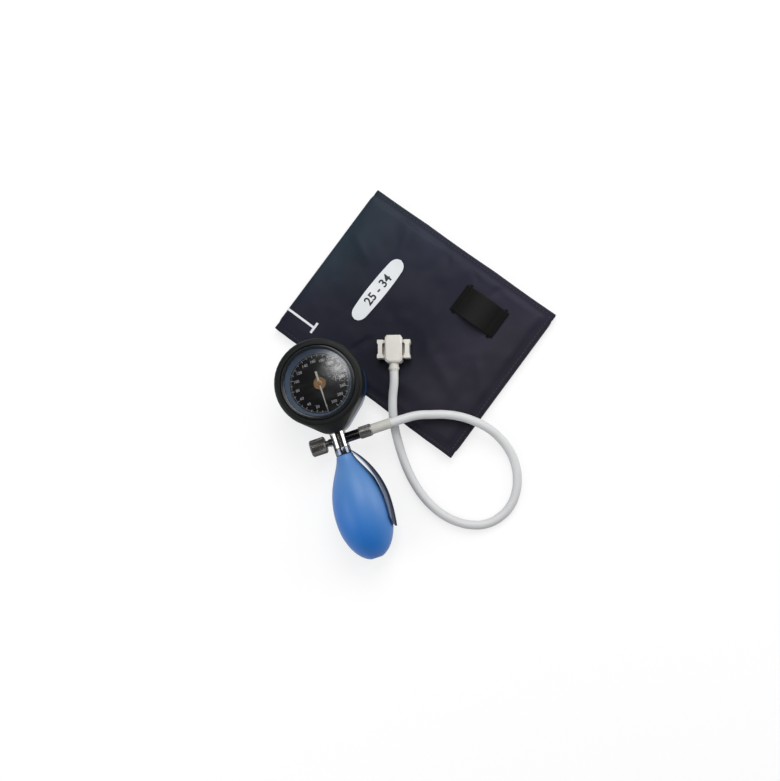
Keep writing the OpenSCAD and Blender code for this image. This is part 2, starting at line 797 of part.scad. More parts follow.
module valve_seat() {
    cone = 1;
    color([0.75, 0.6, 0.3]) cross_axis() difference() {
        rod(valve_stem_r, -seat_out, -seat_in);
        rod(orifice_r, -seat_out - 1, 0);
        translate([0, 0, -seat_out]) cylinder(r1 = needle_r + 0.1, r2 = orifice_r, h = cone);
    }
}

module release_needle() {
    tip_start = seat_out - 0.12;
    tip_end = seat_out - 1;
    color([0.8, 0.8, 0.8]) cross_axis() {
        rod(needle_r, -knob_in - stem_reach + 1, -tip_start);
        translate([0, 0, -tip_start]) cylinder(r1 = needle_r, r2 = orifice_r - 0.03, h = tip_start - tip_end);
    }
}

module valve_bonnet() {
    color([0.75, 0.76, 0.78]) cross_axis() tube(bonnet_r, valve_stem_r + slip, -bonnet_out, -bonnet_in);
}

module valve_stem() {
    reach = knob_in + stem_reach;
    color([0.5, 0.5, 0.52]) cross_axis() difference() {
        rod(valve_stem_r, -reach, -stem_in);
        rod(needle_r + slip, -reach + 0.8, 0);
    }
}

// Fluted grip along Z from 0 to length, with both ends bevelled
module grip(r, length, count, bevel) {
    over = 1;
    intersection() {
        linear_extrude(length) polygon(flutes(count, r, 0.35));
        rotate_extrude() polygon([[0, 0], [r - bevel, 0], [r + over, bevel + over],
            [r + over, length - bevel - over], [r - bevel, length], [0, length]]);
    }
}

module valve_knob() {
    color([0.55, 0.55, 0.56]) cross_axis() difference() {
        translate([0, 0, -knob_in - knob_len]) grip(knob_r, knob_len, knob_flutes, 0.8);
        rod(valve_stem_r + slip, -knob_in - stem_reach - slip, 0);
        rod(knob_r - 2.4, -knob_in - knob_len - 1, -knob_in - knob_len + 0.6);
    }
}

module outlet_seat() {
    color([0.75, 0.6, 0.3]) stem() tube(chamber_r - slip, air_r, outlet_seat_d, outlet_seat_d + seat_len);
}

module outlet_disc() {
    color([0.15, 0.15, 0.15]) stem() rod(2.6, outlet_seat_d - disc_t, outlet_seat_d);
}

module hose_nipple() {
    barb_r = 1.9;
    color([0.3, 0.31, 0.33]) cross_axis() difference() {
        union() {
            rod(port_spigot_r, 2.5, column_r);
            rod(port_r, shoulder_in, port_len);
            rod(thread_r, port_len - 1, hose_start - 0.6);
            rod(barb_r, port_len, hose_start);
        }
        rod(air_r, 0, hose_start + 1);
    }
}

module hose_nut() {
    color([0.5, 0.49, 0.46]) cross_axis() difference() {
        translate([0, 0, port_len + slip]) grip(nut_r, nut_len - slip, nut_flutes, 0.4);
        rod(thread_r + slip, port_len - 1, hose_start - 0.4);
        rod(sleeve_in, hose_start - 0.5, port_len + nut_len + 1);
    }
}

module hose_sleeve() {
    color([0.88, 0.87, 0.8]) cross_axis()
        tube(sleeve_in + sleeve_wall, sleeve_in, sleeve_start, sleeve_start + sleeve_len);
}

// Outline of the bulb as [radius, station] points, drawn in by a wall
function bulb_front(wall) = [for (i = [0:14]) let (t = i / 14)
    [cubic(bulb_neck_r, bulb_neck_r + 1.2, bulb_r, bulb_r, t) - wall,
        bulb_start + bulb_widest * cubic(0, 0.2, 0.44, 1, t)]];
function bulb_back(wall, r_end) = let (half = bulb_len - bulb_widest, a_end = acos(r_end / bulb_r))
    [for (i = [1:16]) let (a = a_end * i / 16)
        [bulb_r * cos(a) - wall, bulb_start + bulb_widest + half * sin(a) / sin(a_end)]];

module bulb() {
    cavity_end = bulb_end - intake_len;
    outer = concat(bulb_front(0), bulb_back(0, intake_r + slip));
    inner = [for (p = concat(bulb_front(bulb_wall), bulb_back(bulb_wall, intake_r + slip)))
        if (p[1] > nipple_end + 1 && p[1] < cavity_end - 2) p];
    color([0.25, 0.48, 0.8]) stem() rotate_extrude() polygon(concat(
        outer, [[intake_r + slip, cavity_end], [intake_r + 2, cavity_end]],
        [for (i = [len(inner) - 1:-1:0]) inner[i]],
        [[nipple_r + slip, nipple_end], [nipple_r + slip, bulb_start]]));
}

// Outline of the spoon's blade as [radius, station] points, drawn in by its thickness
function blade(t_in) =
    let (root = nipple_start + ring_len / 2, belly = root + spoon_belly, tip = bulb_start + spoon_len)
    concat(
        [for (i = [0:10]) let (t = i / 10) [cubic(column_r - 0.4, 16, spoon_r, spoon_r, t) - t_in,
            cubic(root, root + spoon_neck, root + spoon_flare, belly, t) + t_in / 2]],
        [for (i = [1:5]) let (u = i / 5)
            [spoon_r - spoon_tip_in * u * u - t_in, belly + (tip - belly) * u + t_in / 2]]);

module spoon() {
    skin = blade(0);
    back = blade(spoon_t);
    tip_r = spoon_r * sin(spoon_wrap / 2) + 0.6;
    tip = bulb_start + spoon_len - 0.3;
    color([0.8, 0.81, 0.83]) stem() {
        tube(column_r, nipple_r + slip, nipple_start, nipple_start + ring_len);
        difference() {
            rotate([0, 0, -spoon_wrap / 2]) rotate_extrude(angle = spoon_wrap)
                polygon(concat(skin, [for (i = [len(back) - 1:-1:0]) back[i]]));
            rotate([0, 90, 0]) linear_extrude(spoon_r + 2) difference() {
                translate([-tip - 5, -2 * tip_r]) square([tip_r + 5, 4 * tip_r]);
                translate([-tip + tip_r, 0]) circle(r = tip_r);
            }
        }
    }
}

module intake_housing() {
    flange_d = bulb_end - intake_len;
    color([0.75, 0.76, 0.78]) stem() difference() {
        union() {
            rod(intake_r, flange_d - 1, bulb_end - slip);
            rod(intake_r + 1.4, flange_d - 1.5 - slip, flange_d - slip);
        }
        rod(1.5, flange_d, bulb_end + 1);
        rod(intake_disc_r + 0.4, flange_d - 3, intake_seat_d);
    }
}

module intake_disc() {
    color([0.15, 0.15, 0.15]) stem() rod(intake_disc_r, intake_seat_d - disc_t, intake_seat_d);
}

module intake_retainer() {
    top = intake_seat_d - disc_t - disc_travel - 4 * slip;
    color([0.75, 0.6, 0.3]) stem() tube(intake_disc_r + 0.35, air_r, top - retainer_t, top);
}

// Tube swept along a path, with one ring of points at each path point
module swept_tube(path, r, sides) {
    n = len(path);
    rings = [for (i = [0:n - 1])
        let (
            d = path[min(i + 1, n - 1)] - path[max(i - 1, 0)],
            t = d / norm(d),
            s = cross(t, [0, 0, 1]),
            across = s / norm(s),
            up = cross(across, t)
        )
        for (k = [0:sides - 1]) let (a = 360 * k / sides) path[i] + r * (cos(a) * across + sin(a) * up)];
    sides_faces = [for (i = [0:n - 2], k = [0:sides - 1]) let (
        a = i * sides + k,
        b = i * sides + (k + 1) % sides
    ) each [[a, b, b + sides], [a, b + sides, a + sides]]];
    end = (n - 1) * sides;
    start_cap = [for (k = [1:sides - 2]) [0, k + 1, k]];
    end_cap = [for (k = [1:sides - 2]) [end, end + k, end + k + 1]];
    polyhedron(points = rings, faces = concat(sides_faces, start_cap, end_cap));
}

module hose() {
    color([0.85, 0.85, 0.86]) swept_tube(hose_path, hose_r, hose_sides);
}

module body_outline(inset) {
    w = body_w / 2 - inset;
    l = body_len / 2 - inset;
    polygon([[-w + 1.8, -l], [w - 1.8, -l], [w, -l + 1.8], [w, l - 2], [w - 1.4, l], [-w + 1.4, l],
        [-w, l - 2], [-w, -l + 1.8]]);
}

module fitting_body() {
    bevel = 1.2;
    skin = 0.01;
    end = body_len / 2;
    pocket = leg_reach + tab_travel + 2 * slip;
    color([0.92, 0.92, 0.88]) fitting() difference() {
        union() {
            translate([0, 0, fitting_z]) linear_extrude(body_h - bevel) body_outline(0);
            hull() {
                translate([0, 0, fitting_z + body_h - bevel - skin]) linear_extrude(skin) body_outline(0);
                translate([0, 0, fitting_z + body_h - skin]) linear_extrude(skin) body_outline(bevel);
            }
            translate([0, 0, hose_end_z]) rotate([90, 0, 0]) {
                rod(fitting_neck_r, end - 2, end + neck_len);
                rod(fitting_neck_r + 0.5, end + neck_len - 2.6, end + neck_len - 1.2);
            }
        }
        rod(bore_r, fitting_z - 1, fitting_z + bore_h);
        translate([0, 0, hose_end_z]) rotate([90, 0, 0]) rod(air_r, 0, end + neck_len + 1);
        translate([-body_w, -latch_w / 2 - 2 * slip, latch_z - plate_gap / 2])
            cube([2 * body_w, latch_w + 4 * slip, slot_h]);
        for (x = [-body_w / 2, body_w / 2], y = [-leg_y, leg_y]) translate([x, y, leg_z + leg_h / 2])
            cube([2 * pocket, leg_w + 4 * slip, leg_h + 4 * slip], center = true);
    }
}

// Squeeze tab on the +X side, with its latch plate at height z
module latch_tab(z) {
    out = tab_in + tab_w;
    mid = tab_len / 2;
    waist = 3.6;
    end_w = 2.5;
    window = post_r + free;
    plate_in = -body_w / 2 + tab_travel + 0.2;
    color([0.93, 0.93, 0.89]) {
        translate([0, 0, fitting_z + 1.3]) linear_extrude(tab_h) polygon([
            [tab_in, -mid], [out, -mid], [out, -mid + end_w], [out - 0.8, -waist], [out - 0.8, waist],
            [out, mid - end_w], [out, mid], [tab_in, mid], [tab_in, mid - end_w], [tab_in + 0.7, waist],
            [tab_in + 0.7, -waist], [tab_in, -mid + end_w]]);
        for (y = [-leg_y, leg_y]) translate([tab_in - tab_gap - leg_reach, y - leg_w / 2, leg_z])
            cube([tab_gap + leg_reach + 0.5, leg_w, leg_h]);
        translate([0, 0, z]) linear_extrude(plate_h) difference() {
            translate([plate_in, -latch_w / 2]) square([tab_in + 1 - plate_in, latch_w]);
            translate([tab_travel / 2, 0]) circle(r = window);
            translate([tab_travel * 1.5, 0]) circle(r = window);
            translate([tab_travel / 2, -window]) square([tab_travel, 2 * window]);
        }
    }
}

module latch_tab_right() {
    fitting() latch_tab(latch_z + plate_h + plate_gap);
}

module latch_tab_left() {
    fitting() mirror([1, 0, 0]) latch_tab(latch_z);
}

module port_seal() {
    color([0.12, 0.12, 0.12]) fitting()
        tube(post_r + slip, seal_r + slip, fitting_z + post_h - seal_h - 0.4, fitting_z + post_h - 0.5);
}

// Port welded into the cuff: a flange, a post with a latch groove and a seal groove, and a shank
module cuff_port() {
    top = fitting_z + post_h;
    color([0.1, 0.1, 0.12]) fitting() difference() {
        union() {
            rod(shank_r, cuff_t - layer_t - ring_t, cuff_t + slip);
            rod(flange_r, cuff_t, cuff_t + flange_t);
            rod(post_r, cuff_t, top);
        }
        tube(post_r + 1, groove_r, latch_z - plate_gap, latch_z + slot_h);
        tube(post_r + 1, seal_r, top - seal_h - 0.5, top - 0.4);
        rod(1.8, cuff_t - layer_t - 1, top + 1);
    }
}

module port_ring() {
    color([0.2, 0.2, 0.22]) fitting()
        tube(9, shank_r + 2 * slip, cuff_t - layer_t - ring_t, cuff_t - layer_t - slip);
}

// Folded cuff seen from its long side, with its length along X
module cuff_profile() {
    middle = layer_t + fold_gap;
    bottom_end = -cuff_length / 2 + 2.2;
    top_end = cuff_length / 2 - 0.6;
    translate([bottom_end, 0]) square([fold_x - bottom_end, layer_t]);
    translate([-fold_x, middle]) square([2 * fold_x, layer_t]);
    translate([-fold_x, 2 * middle]) square([top_end + fold_x, layer_t]);
    for (fold = [[1, layer_t + fold_in], [-1, middle + layer_t + fold_in]])
        translate([fold[0] * fold_x, fold[1]]) difference() {
            circle(r = fold_out);
            circle(r = fold_in);
            translate([fold[0] > 0 ? -2 * fold_out : 0, -fold_out]) square(2 * fold_out);
        }
}

module cuff() {
    color([0.18, 0.18, 0.24]) difference() {
        cuff_plane() rotate([90, 0, 0]) linear_extrude(cuff_width, center = true) cuff_profile();
        fitting() rod(shank_r + 2 * slip, cuff_t - layer_t - fold_in, cuff_t + 1);
    }
}

module gauge_loop() {
    span = loop_length / 2 - loop_flat;
    arch_r = (span * span + loop_rise * loop_rise) / (2 * loop_rise);
    color([0.12, 0.12, 0.15]) cuff_plane() translate([loop_x, loop_y, cuff_t]) rotate([90, 0, 0])
        linear_extrude(loop_width, center = true) difference() {
            union() {
                translate([-loop_length / 2, 0]) square([loop_length, web_t]);
                difference() {
                    translate([0, loop_rise - arch_r]) circle(r = arch_r + web_t);
                    translate([-2 * arch_r, -4 * arch_r]) square(4 * arch_r);
                }
            }
            translate([0, loop_rise - arch_r]) circle(r = arch_r);
        }
}

module patch(x, z) {
    cuff_plane() translate([x - patch_length / 2, -cuff_width / 2 + patch_margin, z])
        cube([patch_length, cuff_width - 2 * patch_margin, patch_t]);
}

module hook_patch() {
    color([0.1, 0.1, 0.1]) patch(patch_x, 2 * layer_t + fold_gap);
}

module loop_patch() {
    color([0.22, 0.22, 0.28]) patch(-patch_x, layer_t);
}

rear_shell();
case_screws();
stem_screw();
case_ring();
bumper();
bezel_ring();
lens();
lens_gasket();
inner_ring();
dial();
pointer();
pointer_hub();
pinion_arbor();
hairspring();
movement_top_plate();
movement_bottom_plate();
lower_pillars();
upper_pillars();
movement_screws();
sector_gear();
rocker_shaft();
capsule();
capsule_pusher();
inlet_block();
inlet_filter();
stem_seal();
valve_body();
valve_seat();
valve_bonnet();
release_needle();
valve_stem();
valve_knob();
outlet_seat();
outlet_disc();
hose_nipple();
hose_nut();
hose_sleeve();
bulb();
spoon();
intake_housing();
intake_disc();
intake_retainer();
hose();
fitting_body();
latch_tab_left();
latch_tab_right();
port_seal();
cuff_port();
port_ring();
cuff();
gauge_loop();
hook_patch();
loop_patch();
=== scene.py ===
"""Finishes, soft pieces and fine detail of an aneroid sphygmomanometer, built around its solid parts.

Lengths in the classes are millimetres; everything is turned into metres as it is placed.
"""

import json
import logging
import math
from dataclasses import dataclass
from enum import Enum
from typing import Iterable, Optional, Sequence, Union

import bmesh
import bpy
from mathutils import Matrix, Vector, noise


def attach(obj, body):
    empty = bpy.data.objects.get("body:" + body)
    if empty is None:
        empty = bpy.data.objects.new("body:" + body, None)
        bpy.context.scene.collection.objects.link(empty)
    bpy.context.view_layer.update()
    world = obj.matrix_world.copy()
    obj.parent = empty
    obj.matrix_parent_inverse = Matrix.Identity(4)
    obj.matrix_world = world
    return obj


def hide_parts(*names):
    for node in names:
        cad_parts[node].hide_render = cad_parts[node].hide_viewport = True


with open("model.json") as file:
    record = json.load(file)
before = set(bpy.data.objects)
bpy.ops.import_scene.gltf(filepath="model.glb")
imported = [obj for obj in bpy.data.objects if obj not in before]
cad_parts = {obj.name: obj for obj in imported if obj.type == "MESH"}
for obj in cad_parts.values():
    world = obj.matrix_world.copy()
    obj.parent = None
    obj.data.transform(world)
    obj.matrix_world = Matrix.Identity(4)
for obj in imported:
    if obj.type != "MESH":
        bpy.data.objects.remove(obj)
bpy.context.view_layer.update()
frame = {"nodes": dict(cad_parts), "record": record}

MM = 0.001

# Height of a figure as a share of its font's size.
CAP_SHARE = 0.72

Colour = tuple[float, float, float]
Piece = bpy.types.Object
Number = Union[float, "Flow"]

log = logging.getLogger("sphygmomanometer")


# ---- Shader maths

class Flow:
    """A value that runs through a finish's nodes and takes part in plain arithmetic."""

    def __init__(self, net: "Net", socket: bpy.types.NodeSocket) -> None:
        """Wraps one output socket of a net."""
        self.net = net
        self.socket = socket

    def maths(self, operation: str, *values: Number) -> "Flow":
        """Adds a Math node on the operands, in order, and gives its result."""
        return self.net.node("ShaderNodeMath", {"operation": operation}, dict(enumerate(values)))

    def __add__(self, other: Number) -> "Flow":
        """Sum."""
        return self.maths("ADD", self, other)

    __radd__ = __add__

    def __sub__(self, other: Number) -> "Flow":
        """Difference."""
        return self.maths("SUBTRACT", self, other)

    def __rsub__(self, other: Number) -> "Flow":
        """Difference, the other way round."""
        return self.maths("SUBTRACT", other, self)

    def __mul__(self, other: Number) -> "Flow":
        """Product."""
        return self.maths("MULTIPLY", self, other)

    __rmul__ = __mul__

    def __pow__(self, other: Number) -> "Flow":
        """Power."""
        return self.maths("POWER", self, other)

    def sine(self) -> "Flow":
        """Sine of an angle in radians."""
        return self.maths("SINE", self)

    def clipped(self) -> "Flow":
        """The value held between 0 and 1."""
        return self.maths("MINIMUM", self.maths("MAXIMUM", self, 0.0), 1.0)

    def between(self, low: float, high: float) -> "Flow":
        """Rises from 0 at low to 1 at high, and stays within those."""
        return ((self - low) * (1.0 / (high - low))).clipped()


class Net:
    """The nodes of one material or world."""

    def __init__(self, name: str) -> None:
        """Starts an empty material.

        Args:
            name: Name of the material.
        """
        self.material = bpy.data.materials.new(name)
        self.material.use_nodes = True
        self.tree = self.material.node_tree
        self.tree.nodes.clear()
        self.source = self.tree.nodes.new("ShaderNodeTexCoord")

    @classmethod
    def of_world(cls, name: str) -> "Net":
        """Starts the empty net of a new world, and gives the scene that world.

        Args:
            name: Name of the world.

        Returns:
            The world's net.
        """
        net = cls.__new__(cls)
        world = bpy.data.worlds.new(name)
        bpy.context.scene.world = world
        world.use_nodes = True
        net.tree = world.node_tree
        net.tree.nodes.clear()
        net.source = net.tree.nodes.new("ShaderNodeTexCoord")
        return net

    def output(self, made: bpy.types.Node, name: str) -> Flow:
        """One of a node's outputs."""
        return Flow(self, made.outputs[name])

    def rays(self, *kinds: str) -> Flow:
        """1 for rays of the named kinds, and 0 for others.

        Args:
            kinds: Outputs of the Light Path node.

        Returns:
            Their sum, held between 0 and 1.
        """
        path = self.tree.nodes.new("ShaderNodeLightPath")
        total: Number = 0.0
        for kind in kinds:
            total = self.output(path, kind) + total
        return total.clipped()

    def node(self, kind: str, settings: Optional[dict] = None, inputs: Optional[dict] = None,
             output: Union[int, str] = 0) -> Flow:
        """Adds any node.

        Args:
            kind: The node's type.
            settings: Its properties, set first; "stops" holds a ramp's positions and colours.
            inputs: Values or flows for its input sockets, by name or number.
            output: The output socket that is wanted.

        Returns:
            That output.
        """
        made = self.tree.nodes.new(kind)
        for key, value in (settings or {}).items():
            if key == "stops":
                ramp = made.color_ramp.elements
                while len(ramp) < len(value):
                    ramp.new(1.0)
                for stop, (at, colour) in zip(ramp, value):
                    stop.position, stop.color = at, (*colour, 1.0)
            else:
                setattr(made, key, value)
        for key, value in (inputs or {}).items():
            socket = made.inputs[key]
            if isinstance(value, Flow):
                self.tree.links.new(value.socket, socket)
            elif isinstance(value, (tuple, list)) and len(value) == 3 and socket.type == "RGBA":
                socket.default_value = (*value, 1.0)
            else:
                socket.default_value = value
        return Flow(self, made.outputs[output])

    def place(self, stretch: Sequence[float] = (1.0, 1.0, 1.0)) -> Flow:
        """Object coordinates in metres, stretched along each axis."""
        return self.node("ShaderNodeMapping", None,
                         {"Vector": self.output(self.source, "Object"), "Scale": tuple(stretch)})

    def cloth(self) -> tuple[Flow, Flow]:
        """Reads where a point lies on the cloth from the piece's own map.

        Returns:
            Its distances along and across, in metres.
        """
        flat = self.output(self.source, "UV")
        return (self.node("ShaderNodeSeparateXYZ", None, {0: flat}, 0),
                self.node("ShaderNodeSeparateXYZ", None, {0: flat}, 1))

    def noise(self, at: Flow, scale: float, detail: float = 2.0, rough: float = 0.5) -> Flow:
        """Smooth noise from 0 to 1 with that many features to the metre."""
        return self.node("ShaderNodeTexNoise", None,
                         {"Vector": at, "Scale": scale, "Detail": detail, "Roughness": rough})

    def drift(self, start: Sequence[float], end: Sequence[float]) -> Flow:
        """Rises from 0 at one point to 1 at another, both in millimetres in the frame.

        Args:
            start: Where it is 0.
            end: Where it is 1.

        Returns:
            The share, from 0 to 1.
        """
        line = Vector(end) - Vector(start)
        run = line * (1.0 / (line.length_squared * MM))
        along = self.node("ShaderNodeVectorMath", {"operation": "DOT_PRODUCT"},
                          {0: self.output(self.source, "Object"), 1: tuple(run)}, "Value")
        return (along - run.dot(Vector(start)) * MM).clipped()

    def blend(self, share: Number, a: Union[Flow, Colour], b: Union[Flow, Colour]) -> Flow:
        """Colour a turning into colour b as share goes from 0 to 1."""
        return self.node("ShaderNodeMix", {"data_type": "RGBA"}, {0: share, 6: a, 7: b}, 2)

    def bump(self, height: Flow, depth: float, strength: float = 1.0) -> Flow:
        """Normals tilted by a map from 0 to 1, where 1 stands for the depth in millimetres."""
        return self.node("ShaderNodeBump", None,
                         {"Strength": strength, "Distance": depth * MM, "Height": height})

    def surface(self, **inputs: Union[Number, Flow, Colour]) -> bpy.types.Material:
        """Closes the net with a Principled surface, its sockets named with underscores for spaces."""
        named = {key.replace("_", " "): value for key, value in inputs.items()}
        return self.close(self.node("ShaderNodeBsdfPrincipled", None, named))

    def close(self, shader: Flow) -> bpy.types.Material:
        """Joins a shader to the material's output and returns the material.

        Args:
            shader: The finished shader.

        Returns:
            The material.
        """
        out = self.tree.nodes.new("ShaderNodeOutputMaterial")
        self.tree.links.new(shader.socket, out.inputs["Surface"])
        return self.material


def scaled(colour: Colour, share: float) -> Colour:
    """A colour made lighter or darker."""
    return tuple(min(1.0, c * share) for c in colour)


# ---- Finishes

@dataclass(frozen=True)
class Moulded:
    """Injection-moulded plastic: faint flow clouds, a fine mould grain and a few scuffs."""

    name: str
    colour: Colour
    roughness: float = 0.35
    grain: float = 1500.0
    depth: float = 0.012
    cloud: float = 0.12
    specular: float = 0.5
    scatter: float = 0.0

    def build(self) -> bpy.types.Material:
        """Makes the material.

        Returns:
            The material.
        """
        net = Net(self.name)
        at = net.place()
        cloud = net.noise(at, 45.0, 4.0, 0.6)
        grain = net.noise(at, self.grain, 3.0, 0.6)
        scuff = net.noise(net.place((1.0, 7.0, 1.0)), 160.0, 6.0, 0.7).between(0.6, 0.72)
        colour = net.blend(cloud.between(0.3, 0.7), scaled(self.colour, 1 - self.cloud),
                           scaled(self.colour, 1 + self.cloud / 2))
        return net.surface(
            Base_Color=colour,
            Roughness=(self.roughness + (cloud - 0.5) * 0.16 + scuff * 0.14).clipped(),
            Normal=net.bump(grain + scuff * 0.3, self.depth, 0.6),
            Specular_IOR_Level=self.specular,
            Subsurface_Weight=self.scatter,
            Subsurface_Radius=(0.8, 0.8, 0.9),
            Subsurface_Scale=0.0015)


@dataclass(frozen=True)
class Rubber:
    """Moulded rubber: a dull bloom, fine pores and rubbed patches that shine a little more."""

    name: str
    colour: Colour
    roughness: float = 0.5
    bloom: float = 0.25
    pores: float = 1100.0
    depth: float = 0.02
    specular: float = 0.35
    sheen: float = 0.0
    # A paler colour and the line along which it is laid on: a painted highlight.
    faded: Optional[Colour] = None
    fades: Sequence[tuple] = ()

    def build(self) -> bpy.types.Material:
        """Makes the material.

        Returns:
            The material.
        """
        net = Net(self.name)
        at = net.place()
        bloom = net.noise(at, 28.0, 5.0, 0.62)
        pores = net.noise(at, self.pores, 4.0, 0.65)
        rub = net.noise(net.place((1.0, 0.35, 1.0)), 190.0, 5.0, 0.6).between(0.58, 0.74)
        colour = net.blend(bloom.between(0.28, 0.74), scaled(self.colour, 1 - self.bloom),
                           scaled(self.colour, 1 + self.bloom * 0.8))
        # Painted highlight: the colour turns paler along a line, towards the bulb's lit side.
        if self.faded:
            colour = net.blend((net.drift(*self.fades) + (bloom - 0.5) * 0.2).clipped(), colour, self.faded)
        return net.surface(
            Base_Color=colour,
            Roughness=(self.roughness + (bloom - 0.5) * 0.22 - rub * 0.08).clipped(),
            Normal=net.bump(pores, self.depth, 0.55),
            Specular_IOR_Level=self.specular,
            Sheen_Weight=self.sheen,
            Sheen_Roughness=0.4)


@dataclass(frozen=True)
class Metal:
    """Plated or bare metal: smudges that dull the polish and fine hairlines along one axis."""

    name: str
    colour: Colour
    roughness: float = 0.1
    smudge: float = 0.1
    hairline: float = 0.004
    grain: Sequence[float] = (14.0, 1.0, 14.0)
    tarnish: float = 0.1
    rim: float = 0.3

    def build(self) -> bpy.types.Material:
        """Makes the material.

        Returns:
            The material.
        """
        net = Net(self.name)
        smudge = net.noise(net.place(), 70.0, 5.0, 0.6)
        hair = net.noise(net.place(self.grain), 260.0, 4.0, 0.7)
        colour = net.blend(smudge.between(0.35, 0.75), self.colour, scaled(self.colour, 1 - self.tarnish))
        return net.surface(
            Base_Color=colour,
            Metallic=1.0,
            Roughness=(self.roughness + smudge.between(0.4, 0.8) * self.smudge + hair * 0.03).clipped(),
            Normal=net.bump(hair, self.hairline, 0.5),
            Specular_Tint=(self.rim,) * 3)


@dataclass(frozen=True)
class Nylon:
    """Coated plain-weave nylon: crossing threads, slow changes of tint and a dull sheen, with painted light
    that pales it towards the right and painted shade that darkens it towards the bottom.
    """

    name: str
    dark: Colour
    plain: Colour
    pale: Colour
    cool: Colour
    low: Colour
    pitch: float = 0.42
    flat: Sequence[float] = (0.5494, 0.145)
    hem: float = 0.0052

    def build(self) -> bpy.types.Material:
        """Makes the material.

        Returns:
            The material.
        """
        net = Net(self.name)
        along, across = net.cloth()
        turn = 2 * math.pi / (self.pitch * MM)
        warp, weft = (along * turn).sine(), (across * turn).sine()
        weave = warp * weft * 0.5 + 0.5
        slub = net.noise(net.place((1.0, 6.0, 1.0)), 240.0, 3.0, 0.6)
        at = net.place()
        broad = net.noise(at, 11.0, 3.0, 0.5)
        shade = net.noise(net.place((1.3, 0.8, 1.0)), 16.0, 4.0, 0.55)
        rub = net.noise(at, 75.0, 6.0, 0.7).between(0.6, 0.8)
        colour = net.blend(broad.between(0.4, 0.6), self.dark, self.plain)
        # Four slow changes over the cloth: teal towards the upper left; painted shade, darker towards the
        # bottom; a paler lilac towards the right, painted light; and painted shade, darker and more purple
        # towards the bottom.
        for start, end, gain, patches, reach, tint in (
                ((-19, 63, 8), (-48, 104, 8), 1.0, shade, 1.4, self.cool),
                ((10, 95, 8), (0, 45, 8), 1.0, shade, 1.2, self.dark),
                ((25, 45, 8), (75, 20, 8), 0.9, broad, 1.1, self.pale),
                ((5, 25, 8), (20, -50, 8), 1.1, shade, 1.2, self.low)):
            share = net.drift(start, end) * gain + (patches - 0.5) * reach
            colour = net.blend(share.clipped(), colour, tint)
        # Paler where the cloth is rubbed, which is wear, and a little paler on the weave's raised threads, a
        # painted highlight.
        colour = net.blend(rub * 0.2 + weave * 0.1, colour, scaled(self.pale, 1.35))
        inside = across.maths("MINIMUM", across.maths("MINIMUM", across, self.flat[1] - across),
                              self.flat[0] - along)
        edge = 1 - inside.between(self.hem, self.hem + 0.0015)
        colour = net.blend(edge * 0.3, colour, scaled(self.dark, 0.8))
        return net.surface(
            Base_Color=colour,
            Roughness=(0.45 + slub * 0.18 - weave * 0.08).clipped(),
            Normal=net.bump(weave * 0.8 + slub * 0.5, 0.04, 0.6),
            Specular_IOR_Level=0.18,
            Sheen_Weight=0.03,
            Sheen_Roughness=0.45,
            Sheen_Tint=(0.75, 0.8, 1.0))


@dataclass(frozen=True)
class Tape:
    """Narrow woven tape: ribs across it, a cord along each edge and a slight sheen, with painted shade that
    darkens it towards its flat ends, leaving the top of its arch lighter as painted light.
    """

    name: str
    colour: Colour
    rib: float = 1.3
    cord: float = 0.7
    arched: float = 0.017

    def build(self) -> bpy.types.Material:
        """Makes the material.

        Returns:
            The material.
        """
        net = Net(self.name)
        along, across = net.cloth()
        rib = (along * (2 * math.pi / (self.rib * MM))).sine() * 0.5 + 0.5
        cord = (across * (2 * math.pi / (self.cord * MM))).sine() * 0.5 + 0.5
        fuzz = net.noise(net.place(), 900.0, 4.0, 0.7)
        height = rib ** 0.6 * 0.6 + cord * 0.4
        # Darker in the low places between ribs and cords, painted shade, varied by random fuzz.
        colour = net.blend((height * 0.7 + fuzz * 0.5).clipped(), scaled(self.colour, 0.45), self.colour)
        # Painted light: full colour on the top of the arch, and painted shade that darkens the tape to a fifth
        # towards its flat ends.
        arch = 1 - (along * along * (1 / self.arched ** 2)).clipped()
        colour = net.blend(arch, scaled(self.colour, 0.2), colour)
        return net.surface(
            Base_Color=colour,
            Roughness=(0.5 + fuzz * 0.2).clipped(),
            Normal=net.bump(height + fuzz * 0.4, 0.12, 0.8),
            Specular_IOR_Level=0.13,
            Sheen_Weight=0.02)


@dataclass(frozen=True)
class Pile:
    """Hook or loop tape: a dense field of short tufts."""

    name: str
    colour: Colour
    tufts: float = 900.0
    depth: float = 0.3

    def build(self) -> bpy.types.Material:
        """Makes the material.

        Returns:
            The material.
        """
        net = Net(self.name)
        at = net.place()
        tufts = net.node("ShaderNodeTexVoronoi", None, {"Vector": at, "Scale": self.tufts})
        lie = net.noise(at, 120.0, 4.0, 0.6)
        height = (1 - tufts) * 0.8 + lie * 0.3
        # The colour is darker between the tufts, painted shade, and lighter on their tops, painted highlight.
        return net.surface(
            Base_Color=net.blend(height.clipped(), scaled(self.colour, 0.4), scaled(self.colour, 1.3)),
            Roughness=0.85,
            Normal=net.bump(height, self.depth, 0.9),
            Specular_IOR_Level=0.2,
            Sheen_Weight=0.3)


@dataclass(frozen=True)
class Ink:
    """Printed ink: even cover with tiny breaks where it lies over thread or grain."""

    name: str
    colour: Colour
    under: Colour
    cover: float = 0.93
    roughness: float = 0.6

    def build(self) -> bpy.types.Material:
        """Makes the material.

        Returns:
            The material.
        """
        net = Net(self.name)
        at = net.place()
        breaks = net.noise(at, 1400.0, 5.0, 0.75).between(0.66, 0.76)
        wear = net.noise(at, 130.0, 4.0, 0.6)
        share = (breaks * (wear.between(0.35, 0.7)) + (1 - self.cover)).clipped()
        return net.surface(
            Base_Color=net.blend(share, self.colour, self.under),
            Roughness=(self.roughness + wear * 0.1).clipped(),
            Normal=net.bump(net.noise(at, 2200.0, 3.0, 0.6), 0.02, 0.5),
            Specular_IOR_Level=0.3)


